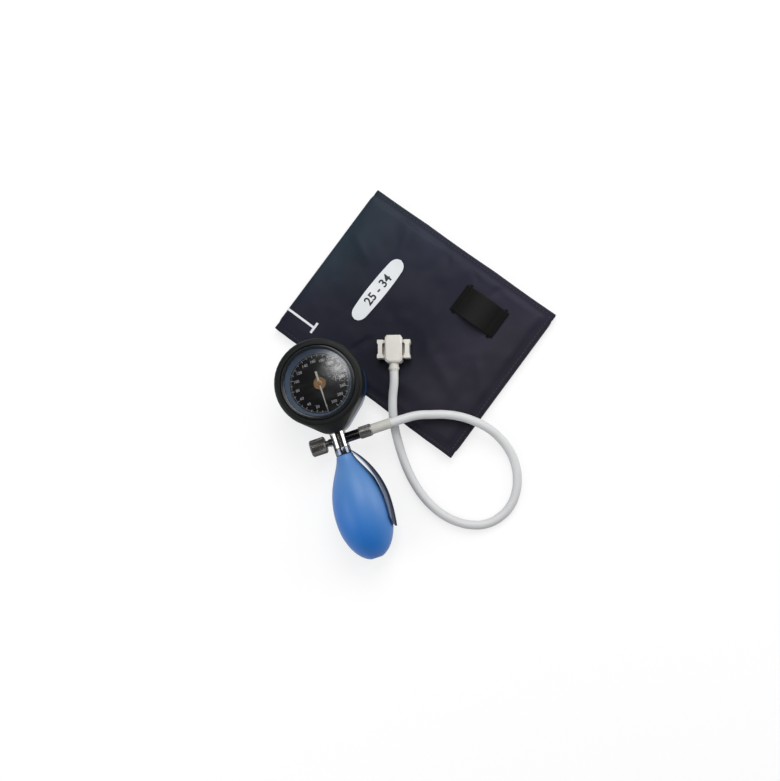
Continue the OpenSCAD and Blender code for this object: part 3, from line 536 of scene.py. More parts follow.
@dataclass(frozen=True)
class Clear:
    """Clear moulded lens: glossy at a glance, see-through face on, with the faintest smears."""

    name: str
    index: float = 1.55
    haze: float = 0.13

    def build(self) -> bpy.types.Material:
        """Makes the material.

        Returns:
            The material.
        """
        net = Net(self.name)
        at = net.place()
        smear = net.noise(net.place((1.0, 3.0, 1.0)), 55.0, 5.0, 0.6).between(0.5, 0.8)
        gloss = net.node("ShaderNodeBsdfGlossy", None, {
            "Color": (1.0, 1.0, 1.0), "Roughness": (smear * 0.1 + self.haze).clipped(),
            "Normal": net.bump(net.noise(at, 30.0, 2.0, 0.4), 0.02, 0.2)})
        clear = net.node("ShaderNodeBsdfTransparent", None, {"Color": (0.97, 0.98, 1.0)})
        share = (net.node("ShaderNodeFresnel", None, {"IOR": self.index}) + smear * 0.008).clipped()
        return net.close(net.node("ShaderNodeMixShader", None, {0: share, 1: clear, 2: gloss}))


BLACK_CLOTH: Colour = (0.02, 0.021, 0.032)
# How a metal's hairlines are stretched where they run down the stem, and across it.
DOWN_STEM = (10.0, 1.0, 10.0)
ACROSS = (1.0, 10.0, 10.0)

# The two ends of the line along which the bulb's blue turns paler, in millimetres: a painted highlight on its
# upper right side.
BULB_PAINTED_HIGHLIGHT = ((-91.0, -118.0, 36.0), (-66.5, -98.0, 36.0))

FINISHES = {
    "shell_blue": Moulded("blue_shell", (0.017, 0.085, 0.27), 0.3, 1300.0, 0.015),
    "black_metal": Metal("blacked_metal", (0.05, 0.05, 0.055), 0.4, 0.15),
    "black_rubber": Rubber("black_bumper_rubber", (0.0075, 0.0088, 0.008), 0.44, 0.3, 1000.0, 0.03, 0.24),
    "black_plastic": Moulded("black_satin_plastic", (0.0075, 0.0078, 0.008), 0.3, 1600.0, 0.012, 0.2, 0.35),
    "clear_lens": Clear("clear_lens"),
    "seal_rubber": Rubber("black_seal_rubber", (0.015, 0.015, 0.015), 0.55),
    # The inner ring's blue is laid on paler than its own: painted light for the little light that reaches it
    # under the bezel.
    "ring_blue": Moulded("blue_inner_ring_painted_light", (0.32, 0.44, 0.62), 0.3, 1400.0, 0.01),
    "bezel_black": Moulded("black_gloss_bezel", (0.01, 0.0125, 0.0155), 0.2, 1600.0, 0.008, 0.2, 0.6),
    "boss_brown": Metal("copper_brown_boss", (0.42, 0.2, 0.07), 0.34, 0.1),
    "dial_black": Moulded("black_dial_lacquer", (0.0036, 0.0036, 0.0042), 0.65, 2600.0, 0.01, 0.2, 0.04),
    "pointer_cream": Moulded("cream_pointer_lacquer", (0.95, 0.88, 0.68), 0.5, 2400.0, 0.006),
    "brass": Metal("brass", (0.72, 0.5, 0.2), 0.24, 0.15, 0.006, (14.0, 14.0, 1.0), 0.25),
    "bronze": Metal("phosphor_bronze", (0.62, 0.4, 0.2), 0.3, 0.12),
    "blued_steel": Metal("blued_steel", (0.1, 0.14, 0.3), 0.25, 0.08),
    "steel": Metal("zinc_plated_steel", (0.6, 0.6, 0.58), 0.26, 0.15),
    "cast_zinc": Metal("cast_zinc", (0.42, 0.43, 0.44), 0.46, 0.2, 0.03, (1.0, 1.0, 1.0), 0.2),
    "chrome": Metal("polished_chrome", (0.62, 0.615, 0.61), 0.1, 0.08, 0.002, DOWN_STEM, 0.06, 0.12),
    # A darker, bluer copy of the polished chrome for the spoon: painted shade for the dark surroundings that
    # its curved face mirrors.
    "spoon_chrome_painted_shade": Metal("spoon_chrome_painted_shade", (0.21, 0.235, 0.295), 0.17, 0.08, 0.002, DOWN_STEM, 0.06, 0.12),
    "black_chrome": Metal("black_chrome", (0.13, 0.13, 0.135), 0.14, 0.08, 0.002, ACROSS, 0.1, 0.12),
    "dark_nickel": Metal("dark_nickel", (0.345, 0.335, 0.32), 0.31, 0.16, 0.008, ACROSS, 0.3),
    "cream_plastic": Moulded("cream_sleeve", (0.53, 0.52, 0.475), 0.42, 1200.0, 0.02),
    "ivory_plastic": Moulded("ivory_nylon_plastic", (0.71, 0.685, 0.63), 0.38, 1300.0, 0.02, 0.06, 0.5, 0.08),
    "hose_rubber": Rubber("white_hose", (0.65, 0.655, 0.66), 0.42, 0.04, 900.0, 0.015, 0.4),
    "bulb_rubber": Rubber("blue_bulb_rubber", (0.010, 0.162, 0.555), 0.44, 0.08, 1000.0, 0.015, 0.5, 0.1,
                          (0.082, 0.222, 0.51), BULB_PAINTED_HIGHLIGHT),
    "cuff_fabric": Nylon("cuff_nylon", (0.0065, 0.008, 0.018), (0.0205, 0.0265, 0.046), (0.0255, 0.0225, 0.047),
                         (0.0145, 0.029, 0.041), (0.0185, 0.016, 0.026)),
    "webbing": Tape("black_tape", (0.0125, 0.0128, 0.0118)),
    "hook_fabric": Pile("hook_tape", (0.02, 0.02, 0.02), 700.0),
    "loop_fabric": Pile("loop_pile", (0.03, 0.03, 0.045), 1100.0),
    "white_ink": Ink("white_cloth_ink", (0.74, 0.76, 0.78), BLACK_CLOTH, 0.98),
    "dark_ink": Ink("dark_cloth_ink", (0.015, 0.015, 0.02), (0.6, 0.6, 0.6), 0.97),
    "dial_ink": Ink("grey_dial_ink", (0.8, 0.8, 0.76), (0.05, 0.05, 0.05), 0.96, 0.5),
    "thread": Moulded("dark_thread", (0.035, 0.035, 0.05), 0.6, 3000.0, 0.05),
    "black_thread": Moulded("black_thread", (0.007, 0.007, 0.007), 0.7, 3000.0, 0.05, 0.12, 0.15),
}


class Body(Enum):
    """The bodies that the pieces here ride on."""

    INSTRUMENT = "instrument"
    KNOB = "knob"
    NUT = "nut"
    SPOON = "palm_spoon"
    LEFT_TAB = "left_tab"
    RIGHT_TAB = "right_tab"
    POINTER = "pointer_assembly"


def shown(name: str, data: bpy.types.ID) -> Piece:
    """Puts a new object in the scene.

    Args:
        name: Name of the object.
        data: Its mesh, curve, lamp or camera.

    Returns:
        The object.
    """
    made = bpy.data.objects.new(name, data)
    bpy.context.scene.collection.objects.link(made)
    return made


def rounded(made: Piece, name: str, width: float, segments: int, sharp: float, harden: bool = False) -> None:
    """Rounds the sharp edges of a piece with a modifier.

    Args:
        made: The piece.
        name: Name of the modifier.
        width: How wide each edge is rounded, in millimetres.
        segments: Steps across each rounded edge.
        sharp: Angle in degrees past which an edge is rounded.
        harden: Whether flat faces keep their own normals.
    """
    edge = made.modifiers.new(name, "BEVEL")
    edge.width, edge.segments = width * MM, segments
    edge.limit_method, edge.angle_limit = "ANGLE", math.radians(sharp)
    edge.harden_normals = harden


class Workshop:
    """Makes finishes once, and turns meshes into placed pieces."""

    def __init__(self) -> None:
        """Builds every finish."""
        self.materials = {name: finish.build() for name, finish in FINISHES.items()}
        self.count = 0

    def piece(self, name: str, mesh: Union[bmesh.types.BMesh, bpy.types.Mesh], finish: str, body: Body,
              replaces: Iterable[str] = (), slot: Optional[str] = None, sharp: float = 35.0) -> Piece:
        """Turns a mesh in metres into a shown piece.

        Args:
            name: Name of the piece.
            mesh: Its shape, in the frame of the solid parts.
            finish: Name of its finish.
            body: What it moves with.
            replaces: Solid parts that it stands for.
            slot: Material slot of the record, if it isn't the finish's name.
            sharp: Angle in degrees past which an edge stays sharp.

        Returns:
            The new object.
        """
        if isinstance(mesh, bmesh.types.BMesh):
            data = bpy.data.meshes.new(name)
            mesh.to_mesh(data)
            mesh.free()
        else:
            data = mesh
        data.polygons.foreach_set("use_smooth", [True] * len(data.polygons))
        data.set_sharp_from_angle(angle=math.radians(sharp))
        data.materials.clear()
        data.materials.append(self.materials[finish])
        return self.mount(shown(name, data), finish, body, replaces, slot)

    def mount(self, made: Piece, finish: str, body: Body, replaces: Iterable[str] = (),
              slot: Optional[str] = None) -> Piece:
        """Sets what a piece rides on and hides the solid parts that it stands for; its finish is only logged.

        Args:
            made: The piece.
            finish: Name of its finish.
            body: What it moves with.
            replaces: Solid parts that it stands for.
            slot: Material slot of the record, if it isn't the finish's name; not used.

        Returns:
            The piece.
        """
        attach(made, body.value)
        if replaces:
            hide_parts(*replaces)
        self.count += 1
        log.info("%s: %s, on %s", made.name, finish, body.value)
        return made

    def softened(self, node: str, finish: str, body: Body, width: float, segments: int = 2,
                 sharp: float = 32.0, slot: Optional[str] = None) -> Piece:
        """Stands a copy of a solid part with rounded edges in its place.

        Args:
            node: The solid part.
            finish: Name of its finish.
            body: What it moves with.
            width: How wide its edges are rounded, in millimetres.
            segments: Steps across each rounded edge.
            sharp: Angle in degrees past which an edge is rounded.
            slot: Material slot of the record, if it isn't the finish's name.

        Returns:
            The new piece.
        """
        shape = merged(node)
        bmesh.ops.dissolve_limit(shape, angle_limit=math.radians(0.4), verts=shape.verts[:],
                                 edges=shape.edges[:])
        made = self.piece(node + "_shape", shape, finish, body, [node], slot, sharp)
        rounded(made, "rounded_edges", width, segments, sharp, harden=True)
        return made


def merged(node: str) -> bmesh.types.BMesh:
    """A copy of a solid part's mesh with its loose triangles joined up.

    Args:
        node: The solid part.

    Returns:
        The copy, in metres.
    """
    shape = bmesh.new()
    shape.from_mesh(frame["nodes"][node].data)
    bmesh.ops.remove_doubles(shape, verts=shape.verts[:], dist=2e-6)
    return shape


def arc(centre: Sequence[float], radius: float, start: float, end: float, steps: int) -> list[tuple]:
    """Points along an arc in a plane, with its angles in degrees."""
    return [(centre[0] + radius * math.cos(math.radians(a)), centre[1] + radius * math.sin(math.radians(a)))
            for a in (start + (end - start) * i / steps for i in range(steps + 1))]


class Axis(Enum):
    """Lines that round pieces turn about: from the profile's own (radius, station) to the frame."""

    DIAL = "dial"
    STEM = "stem"
    CROSS = "cross"

    def matrix(self, gauge: "GaugeSizes") -> Matrix:
        """Places a shape that was turned about Z on this axis.

        Args:
            gauge: Where the gauge and its stem lie.

        Returns:
            The matrix, in millimetres.
        """
        middle = Matrix.Translation((gauge.x, gauge.y, 0))
        if self is Axis.DIAL:
            return middle
        middle = Matrix.Translation((gauge.x, gauge.y, gauge.stem_z))
        down = middle @ Matrix.Rotation(math.radians(90), 4, "X")
        if self is Axis.STEM:
            return down
        return Matrix.Translation((gauge.x, gauge.y - gauge.valve_d, gauge.stem_z)) @ Matrix.Rotation(
            math.radians(90), 4, "Y")


@dataclass(frozen=True)
class GaugeSizes:
    """Where the gauge and its stem lie."""

    x: float = -81.4
    y: float = 0.0
    stem_z: float = 22.5
    valve_d: float = 47.0


GAUGE = GaugeSizes()


def turned(profile: Sequence[tuple], axis: Axis, steps: int = 96, closed: bool = True) -> bmesh.types.BMesh:
    """Turns a profile about one of the axes.

    Args:
        profile: (radius, station) points, in millimetres.
        axis: The line that it turns about.
        steps: Faces round the axis.
        closed: Whether the last point joins the first.

    Returns:
        The shape, in metres, with its faces outwards.
    """
    shape = bmesh.new()
    dots = [shape.verts.new((r, 0.0, d)) for r, d in profile]
    lines = [shape.edges.new(pair) for pair in zip(dots, dots[1:])]
    if closed:
        lines.append(shape.edges.new((dots[-1], dots[0])))
    bmesh.ops.spin(shape, geom=dots + lines, cent=(0, 0, 0), axis=(0, 0, 1), angle=2 * math.pi,
                   steps=steps, use_merge=True)
    bmesh.ops.remove_doubles(shape, verts=shape.verts[:], dist=1e-4)
    bmesh.ops.recalc_face_normals(shape, faces=shape.faces[:])
    place(shape, axis.matrix(GAUGE))
    return shape


def place(shape: bmesh.types.BMesh, matrix: Matrix) -> None:
    """Moves a shape in millimetres by a matrix and turns it into metres."""
    bmesh.ops.transform(shape, matrix=Matrix.Scale(MM, 4) @ matrix, verts=shape.verts[:])


def stacked(rings: Sequence[tuple], count: int, axis: Axis) -> bmesh.types.BMesh:
    """Joins rings of points into a closed wall, for shapes with teeth round them.

    Args:
        rings: (radius, station, tooth depth) of each ring, in millimetres, in order round the wall.
        count: Teeth round the shape.
        axis: The line that the rings lie round.

    Returns:
        The shape, in metres.
    """
    shape = bmesh.new()
    loops = []
    for radius, station, depth in rings:
        made = bmesh.ops.create_circle(shape, segments=4 * count, radius=radius,
                                       matrix=Matrix.Translation((0, 0, station)))["verts"]
        for i, dot in enumerate(made):
            if i % 4 in (2, 3):
                dot.co.x, dot.co.y = (c * (1 - depth / radius) for c in (dot.co.x, dot.co.y))
        loops.append({e for v in made for e in v.link_edges})
    for a, b in zip(loops, loops[1:] + loops[:1]):
        bmesh.ops.bridge_loops(shape, edges=list(a | b))
    bmesh.ops.recalc_face_normals(shape, faces=shape.faces[:])
    place(shape, axis.matrix(GAUGE))
    return shape


# ---- The folded cuff

@dataclass
class Cuff:
    """The folded cuff, with its hems, stitches and prints."""

    shop: Workshop
    x: float = 4.7
    y: float = 28.5
    turn: float = -54.8
    length: float = 184.3
    width: float = 145.0
    ply: float = 2.0
    gap: float = 0.9
    short_end: float = 2.2
    top_end: float = 0.6
    step: float = 2.0
    hem: float = 6.0
    puff: float = 1.0
    high: float = 3.0
    stitch_pitch: float = 3.3
    stitch_start: float = 4.0
    lowest: float = -0.7
    folds: float = 2.2
    creases: Sequence[tuple] = (
        ((-26.8, -49.0), (-20.7, -32.2), 2.4, -0.8), ((-52.0, 66.0), (-37.0, 28.0), 7.0, 0.5),
        ((8.0, 66.0), (24.0, 58.0), 4.0, -0.6), ((44.0, 66.0), (40.0, 56.0), 4.0, -0.6),
        ((-12.0, 66.0), (-4.0, 52.0), 5.0, -0.5), ((60.0, 6.0), (88.0, -20.0), 6.0, 0.6),
        ((30.0, -12.0), (62.0, -30.0), 7.0, 0.6), ((-84.0, 30.0), (-60.0, 18.0), 5.0, 0.5))
    calm: Sequence[tuple] = (((GAUGE.x, GAUGE.y), 52.0), ((-17.2, 10.0), 22.0),
                             ((-34.5, -39.2), 20.0), ((58.7, 18.4), 30.0))
    label_ends: Sequence[tuple] = ((-40.5, -20.2), (-38.7, 28.0))
    label_r: float = 7.0
    label_words: str = "25 - 34"
    label_height: float = 7.4
    print_lift: float = 0.05
    print_thick: float = 0.05
    range_end: tuple[float, float] = (-63.6, -52.8)

    @property
    def plane(self) -> Matrix:
        """From the cuff's own plane to the frame, in millimetres."""
        return Matrix.Translation((self.x, self.y, 0)) @ Matrix.Rotation(math.radians(self.turn), 4, "Z")

    @property
    def fold_r(self) -> float:
        """Radius of the cloth's middle at a fold."""
        return (self.ply + self.gap) / 2

    @property
    def fold_x(self) -> float:
        """How far along a fold's centre lies."""
        return self.length / 2 - self.ply - self.gap / 2

    @property
    def top(self) -> float:
        """Height of the top of the folded cloth."""
        return 3 * self.ply + 2 * self.gap

    def runs(self) -> list[float]:
        """Lengths of the bottom run, a fold, the middle run, a fold and the top run.

        Returns:
            The five lengths, in millimetres.
        """
        bend = math.pi * self.fold_r
        return [2 * self.fold_x + self.ply + self.gap / 2 - self.short_end, bend, 2 * self.fold_x, bend,
                2 * self.fold_x + self.ply + self.gap / 2 - self.top_end]

    def along(self, s: float) -> tuple[float, float, int]:
        """Where a point of the flat cloth lies once it is folded.

        Args:
            s: Distance from the cloth's lower free end, in millimetres.

        Returns:
            Its place along the cuff, its height and which run it is on.
        """
        runs = self.runs()
        heights = [self.ply / 2 + i * (self.ply + self.gap) for i in range(3)]
        for i, run in enumerate(runs):
            if s <= run or i == len(runs) - 1:
                break
            s -= run
        if i == 0:
            return self.fold_x - runs[0] + s, heights[0], 0
        if i == 2:
            return self.fold_x - s, heights[1], 2
        if i == 4:
            return -self.fold_x + s, heights[2], 4
        turn = math.pi * s / runs[1]
        side, low = (1, heights[0]) if i == 1 else (-1, heights[1])
        return (side * (self.fold_x + self.fold_r * math.sin(turn)),
                low + self.fold_r * (1 - math.cos(turn)), i)

    def inside(self, x: float, y: float) -> float:
        """Distance in from the nearest sewn edge of the top run."""
        return min(self.width / 2 - abs(y), self.length / 2 - self.top_end - x)

    def share(self, inside: float) -> float:
        """Share of the cloth's full thickness that is left near a sewn edge."""
        seam = max(0.0, 1 - abs(inside - self.hem) / 1.5)
        return 0.52 + 0.48 * min(1.0, max(0.0, (inside - self.hem) / 4.0)) - 0.2 * seam

    def swell(self, x: float, y: float) -> float:
        """Rise of the top run over its plain height, for a place on the cuff's own plane.

        Args:
            x: Place along the cuff, in millimetres.
            y: Place across it.

        Returns:
            The rise in millimetres.
        """
        inside = self.inside(x, y)
        held = eased((inside - self.hem) / 5.0) * eased((x + self.length / 2) / 14.0)
        here = self.plane @ Vector((x, y, 0))
        for spot, reach in self.calm:
            away = (here.xy - Vector(spot)).length
            held *= min(1.0, max(0.0, (away - reach * 0.72) / (reach * 0.5)))
        waves = (0.55 * noise.noise(Vector((x * 0.021, y * 0.034, 3.1)))
                 + 0.35 * noise.noise(Vector((x * 0.05 + y * 0.02, y * 0.028, 7.7)))
                 + 0.2 * noise.noise(Vector((x * 0.11, y * 0.09, 1.3))))
        crest = 0.6 + noise.noise(Vector((x * 0.07, y * 0.07, 5.5)))
        ridge = 0.5 * (1 - eased((inside - self.hem) / 14.0)) * crest
        rise = held * (self.puff + 2.3 * waves + ridge)
        for start, end, reach, height in self.creases:
            a, b = Vector(start), Vector(end)
            t = min(1.0, max(0.0, (Vector((x, y)) - a).dot(b - a) / (b - a).length_squared))
            away = (Vector((x, y)) - a.lerp(b, t)).length / reach
            free = max(held, eased((inside - self.hem) / 5.0) if height < 0 else 0.0)
            rise += self.folds * height * math.exp(-2 * away * away) * (0.4 + 2.4 * t * (1 - t)) * free
        return max(self.lowest, min(self.high, rise))

    def lie(self, x: float, y: float, lift: float = 0.0) -> Vector:
        """A point on the cuff's upper face, in metres.

        Args:
            x: Place along the cuff, in millimetres.
            y: Place across it.
            lift: How far over the cloth it is.

        Returns:
            The point in the frame.
        """
        drop = self.ply / 2 * (1 - self.share(self.inside(x, y)))
        past, outer = -self.fold_x - x, self.fold_r + self.ply / 2 - drop + lift
        if past <= 0:
            return MM * (self.plane @ Vector((x, y, self.top + self.swell(x, y) - drop + lift)))
        turn = past / outer
        return MM * (self.plane @ Vector((-self.fold_x - outer * math.sin(turn), y,
                                          self.top - self.fold_r - self.ply / 2 + outer * math.cos(turn))))

    def cloth(self) -> Piece:
        """Folds the one long sheet of cloth.

        Returns:
            The cloth.
        """
        total = sum(self.runs())
        across, down = round(self.width / self.step), round(total / self.step)
        shape = bmesh.new()
        flat = shape.loops.layers.uv.new("flat")
        bmesh.ops.create_grid(shape, x_segments=down, y_segments=across, size=0.5)
        for face in shape.faces:
            for loop in face.loops:
                loop[flat].uv = ((loop.vert.co.x + 0.5) * total * MM, (loop.vert.co.y + 0.5) * self.width * MM)
        ply = {}
        for dot in shape.verts:
            s, y = (dot.co.x + 0.5) * total, dot.co.y * self.width
            x, z, run = self.along(s)
            if run == 4:
                z += self.swell(x, y)
            ends = min(s, total - s)
            inside = min(self.width / 2 - abs(y), ends)
            ply[dot.index] = self.share(inside) if run in (0, 2, 4) or inside < self.hem * 2 else 1.0
            bow = 0.4 * math.sin(s * 0.045) if abs(abs(y) - self.width / 2) < 1e-3 else 0.0
            dot.co = MM * (self.plane @ Vector((x, y - math.copysign(abs(bow), y), z)))
        bmesh.ops.recalc_face_normals(shape, faces=shape.faces[:])
        made = self.shop.piece("cuff_cloth", shape, "cuff_fabric", Body.INSTRUMENT, ["cuff"], sharp=80)
        group = made.vertex_groups.new(name="ply")
        for index, weight in ply.items():
            group.add([index], weight, "REPLACE")
        wall = made.modifiers.new("ply", "SOLIDIFY")
        wall.thickness = self.ply * MM
        wall.offset = 0.0
        wall.vertex_group = "ply"
        wall.thickness_vertex_group = 0.0
        wall.use_rim = True
        rounded(made, "rolled_edge", 0.35, 2, 55)
        total * MM
        return made

    def stitches(self) -> Piece:
        """Sews the hems that show, round three sides of the top run.

        Returns:
            The stitches, as one piece.
        """
        inset = self.hem * 0.55
        end = self.length / 2 - self.top_end - inset
        side = self.width / 2 - inset
        start = -self.fold_x + self.stitch_start
        path = [(start, side), (end, side), (end, -side), (start, -side)]
        shape = bmesh.new()
        for (x0, y0), (x1, y1) in zip(path, path[1:]):
            run = math.hypot(x1 - x0, y1 - y0)
            for i in range(int(run / self.stitch_pitch)):
                t = (i + 0.5) * self.stitch_pitch / run
                stitch(shape, self.lie(x0 + (x1 - x0) * t, y0 + (y1 - y0) * t, 0.02),
                       math.degrees(math.atan2(y1 - y0, x1 - x0)) + self.turn, self.stitch_pitch * 0.68)
        return self.shop.piece("cuff_stitches", shape, "thread", Body.INSTRUMENT, slot="cuff_fabric")

    def drape(self, shape: bmesh.types.BMesh, lift: float) -> None:
        """Lays a flat shape, in millimetres on the cuff's plane, on the cloth."""
        for dot in shape.verts:
            dot.co = self.lie(dot.co.x, dot.co.y, lift + dot.co.z)

    def prints(self) -> list[Piece]:
        """Prints the size label with its numbers, and the range line.

        Returns:
            The printed pieces.
        """
        a, b = (Vector(end) for end in self.label_ends)
        label = capsule_outline(a, b, self.label_r, 1.6)
        self.drape(label, self.print_lift)
        made = [self.shop.piece("cuff_label", label, "white_ink", Body.INSTRUMENT, slot="cuff_fabric")]
        digits = lettering(self.label_words, self.label_height, self.print_thick, 0.03)
        lean = Matrix.Rotation(math.atan2(b.y - a.y, b.x - a.x), 4, "Z")
        spot = Matrix.Translation((*((a + b) / 2), 0)) @ lean
        bmesh.ops.transform(digits, verts=digits.verts[:], matrix=spot)
        self.drape(digits, 2 * self.print_lift)
        made.append(self.shop.piece("cuff_label_numbers", digits, "dark_ink", Body.INSTRUMENT,
                                    slot="cuff_fabric"))
        line = bmesh.new()
        for start, end, width in self.range_marks():
            strip(line, start, end, width, 1.0)
        self.drape(line, self.print_lift)
        made.append(self.shop.piece("cuff_range_line", line, "white_ink", Body.INSTRUMENT, slot="cuff_fabric"))
        return made

    def range_marks(self) -> list[tuple]:
        """Ends and widths of the bars of the range line."""
        x, y = self.range_end
        return [((-self.fold_x - 3.4, y), (x, y), 1.9), ((x, y - 5.0), (x, y + 5.0), 2.0)]

    def build(self) -> None:
        """Makes all the pieces of the cuff."""
        self.cloth()
        self.stitches()
        self.prints()


def eased(t: float) -> float:
    """Rises smoothly from 0 to 1 as t goes from 0 to 1."""
    t = min(1.0, max(0.0, t))
    return t * t * (3 - 2 * t)


def stitch(shape: bmesh.types.BMesh, at: Vector, turn: float, length: float, thick: float = 0.42) -> None:
    """Adds one stitch of thread to a shape.

    Args:
        shape: What it is added to, in metres.
        at: Its middle, in metres.
        turn: Its direction in degrees.
        length: Its length in millimetres.
        thick: The thread's width in millimetres.
    """
    matrix = Matrix.Translation(at) @ Matrix.Rotation(math.radians(turn), 4, "Z") @ Matrix.Diagonal(
        (length * MM / 2, thick * MM / 2, thick * MM * 0.36, 1.0))
    bmesh.ops.create_uvsphere(shape, u_segments=6, v_segments=4, radius=1.0,
                              matrix=matrix @ Matrix.Rotation(math.radians(90), 4, "Y"))


def capsule_outline(a: Vector, b: Vector, radius: float, step: float) -> bmesh.types.BMesh:
    """A flat capsule between two points, cut into small faces so that it can follow cloth.

    Args:
        a: Centre of one end, in millimetres.
        b: Centre of the other.
        radius: Radius of the ends.
        step: Length of a face.

    Returns:
        The shape.
    """
    shape = bmesh.new()
    run = (b - a).length
    whole = run + 2 * radius
    bmesh.ops.create_grid(shape, x_segments=2 * round(whole / step), y_segments=10, size=0.5)
    lean = Matrix.Rotation(math.atan2(b.y - a.y, b.x - a.x), 2)
    for dot in shape.verts:
        x = dot.co.x * whole
        past = max(0.0, abs(x) - run / 2)
        half = math.sqrt(max(0.0, radius * radius - past * past)) * (1.06 - 0.25 * (2 * x / whole) ** 2)
        flat = (a + b) / 2 + lean @ Vector((x, dot.co.y * 2 * max(half, 0.05)))
        dot.co = (flat.x, flat.y, 0.0)
    bmesh.ops.remove_doubles(shape, verts=shape.verts[:], dist=0.02)
    return shape


def strip(shape: bmesh.types.BMesh, a: Sequence[float], b: Sequence[float], width: float, step: float) -> None:
    """Adds a flat bar between two points, cut into short faces.

    Args:
        shape: What it is added to.
        a: One end, in millimetres.
        b: The other.
        width: Its width.
        step: Length of a face.
    """
    start, end = Vector(a), Vector(b)
    run = (end - start).length
    turn = math.atan2(end.y - start.y, end.x - start.x)
    made = bmesh.ops.create_grid(shape, x_segments=max(2, round(run / step)), y_segments=2, size=0.5)["verts"]
    matrix = Matrix.Translation((*((start + end) / 2), 0)) @ Matrix.Rotation(turn, 4, "Z") @ Matrix.Diagonal(
        (run, width, 1.0, 1.0))
    bmesh.ops.transform(shape, matrix=matrix, verts=made)


def lettering(words: str, height: float, thick: float, bold: float = 0.0) -> bmesh.types.BMesh:
    """Figures as a flat shape about the origin, in millimetres.

    Args:
        words: The figures.
        height: Height of a figure.
        thick: How far they stand up.
        bold: How much wider their strokes are drawn, as a share of the height.

    Returns:
        The shape.
    """
    curve = bpy.data.curves.new("figures", "FONT")
    curve.body = words
    curve.align_x, curve.align_y = "CENTER", "CENTER"
    curve.size = height / CAP_SHARE
    curve.extrude = thick / 2
    curve.offset = bold * height
    curve.resolution_u = 3
    holder = shown("figures", curve)
    shape = bmesh.new()
    shape.from_mesh(holder.to_mesh())
    bpy.data.objects.remove(holder)
    low = min(v.co.x for v in shape.verts), min(v.co.y for v in shape.verts)
    high = max(v.co.x for v in shape.verts), max(v.co.y for v in shape.verts)
    bmesh.ops.translate(shape, verts=shape.verts[:],
                        vec=(-(low[0] + high[0]) / 2, -(low[1] + high[1]) / 2, thick / 2))
    bmesh.ops.remove_doubles(shape, verts=shape.verts[:], dist=1e-4)
    return shape


@dataclass
class Loop:
    """The strip of tape that is sewn on the cuff and stands up in an arch."""

    shop: Workshop
    cuff: Cuff
    x: float = 39.4
    y: float = 38.3
    length: float = 42.0
    width: float = 25.0
    thick: float = 1.4
    rise: float = 4.2
    flat_end: float = 7.0
    dip: float = 0.25
    seam_side: float = 2.2
    seam_near: float = 1.4
    seam_far: float = 1.6
    seam_pitch: float = 2.6
    tack_in: float = 3.4
    tack_step: float = 0.45
    tack_count: int = 4

    @property
    def span(self) -> float:
        """Half of the length that stands free of the cloth."""
        return self.length / 2 - self.flat_end

    def height(self, u: float) -> float:
        """Height of the tape's middle over the cloth, at a distance along it from its middle.

        Args:
            u: Distance from the middle, in millimetres.

        Returns:
            The height in millimetres.
        """
        span = self.span
        radius = (span * span + self.rise * self.rise) / (2 * self.rise)
        under = self.rise - radius + math.sqrt(max(0.0, radius * radius - u * u)) if abs(u) < span else 0.0
        return max(under, 0.0) + self.thick / 2

    def tape(self) -> Piece:
        """Bends the tape over its arch.

        Returns:
            The tape.
        """
        shape = bmesh.new()
        flat = shape.loops.layers.uv.new("flat")
        bmesh.ops.create_grid(shape, x_segments=56, y_segments=16, size=0.5)
        for face in shape.faces:
            for loop in face.loops:
                loop[flat].uv = (loop.vert.co.x * self.length * MM, loop.vert.co.y * self.width * MM)
        for dot in shape.verts:
            u, v = dot.co.x * self.length, dot.co.y * self.width
            sag = self.dip * (1 - (2 * v / self.width) ** 2) if abs(u) < self.span else 0.0
            high = self.cuff.top + self.height(u) - sag
            dot.co = MM * (self.cuff.plane @ Vector((self.x + u, self.y + v, high)))
        made = self.shop.piece("gauge_loop_tape", shape, "webbing", Body.INSTRUMENT, ["gauge_loop"], sharp=70)
        wall = made.modifiers.new("thickness", "SOLIDIFY")
        wall.thickness = (self.thick - 0.1) * MM
        wall.offset = 0.0
        rounded(made, "soft_edge", 0.3, 2, 50)
        return made

    def sewing(self) -> Piece:
        """Sews a box of stitches through each flat end.

        Returns:
            The stitches, as one piece.
        """
        shape = bmesh.new()
        half = self.width / 2 - self.seam_side
        for side in (-1, 1):
            near = side * (self.span + self.seam_near)
            far = side * (self.length / 2 - self.seam_far)
            path = [(near, -half), (far, -half), (far, half), (near, half), (near, -half)]
            for (x0, y0), (x1, y1) in zip(path, path[1:]):
                run = math.hypot(x1 - x0, y1 - y0)
                count = max(1, round(run / self.seam_pitch))
                for i in range(count):
                    t = (i + 0.5) / count
                    spot = self.cuff.plane @ Vector((self.x + x0 + (x1 - x0) * t, self.y + y0 + (y1 - y0) * t,
                                                     self.cuff.top + self.thick - 0.02))
                    stitch(shape, MM * spot, math.degrees(math.atan2(y1 - y0, x1 - x0)) + self.cuff.turn,
                           run / count * 0.7)
        return self.shop.piece("gauge_loop_stitches", shape, "black_thread", Body.INSTRUMENT, slot="webbing")

    def tacks(self) -> Piece:
        """Sews a short bar of thread past each corner of the tape.

        Returns:
            The bars of thread, as one piece.
        """
        shape = bmesh.new()
        for u in (-1, 1):
            for v in (-1, 1):
                for i in range(self.tack_count):
                    x = self.x + u * (self.length / 2 - self.tack_in)
                    y = self.y + v * (self.width / 2 + 0.2 + i * self.tack_step)
                    stitch(shape, self.cuff.lie(x, y, 0.15), self.cuff.turn, 3.0, 0.5)
        return self.shop.piece("gauge_loop_tacks", shape, "black_thread", Body.INSTRUMENT, slot="webbing")

    def build(self) -> None:
        """Makes the tape and its sewing."""
        self.tape()
        self.sewing()
        self.tacks()


# ---- The hose

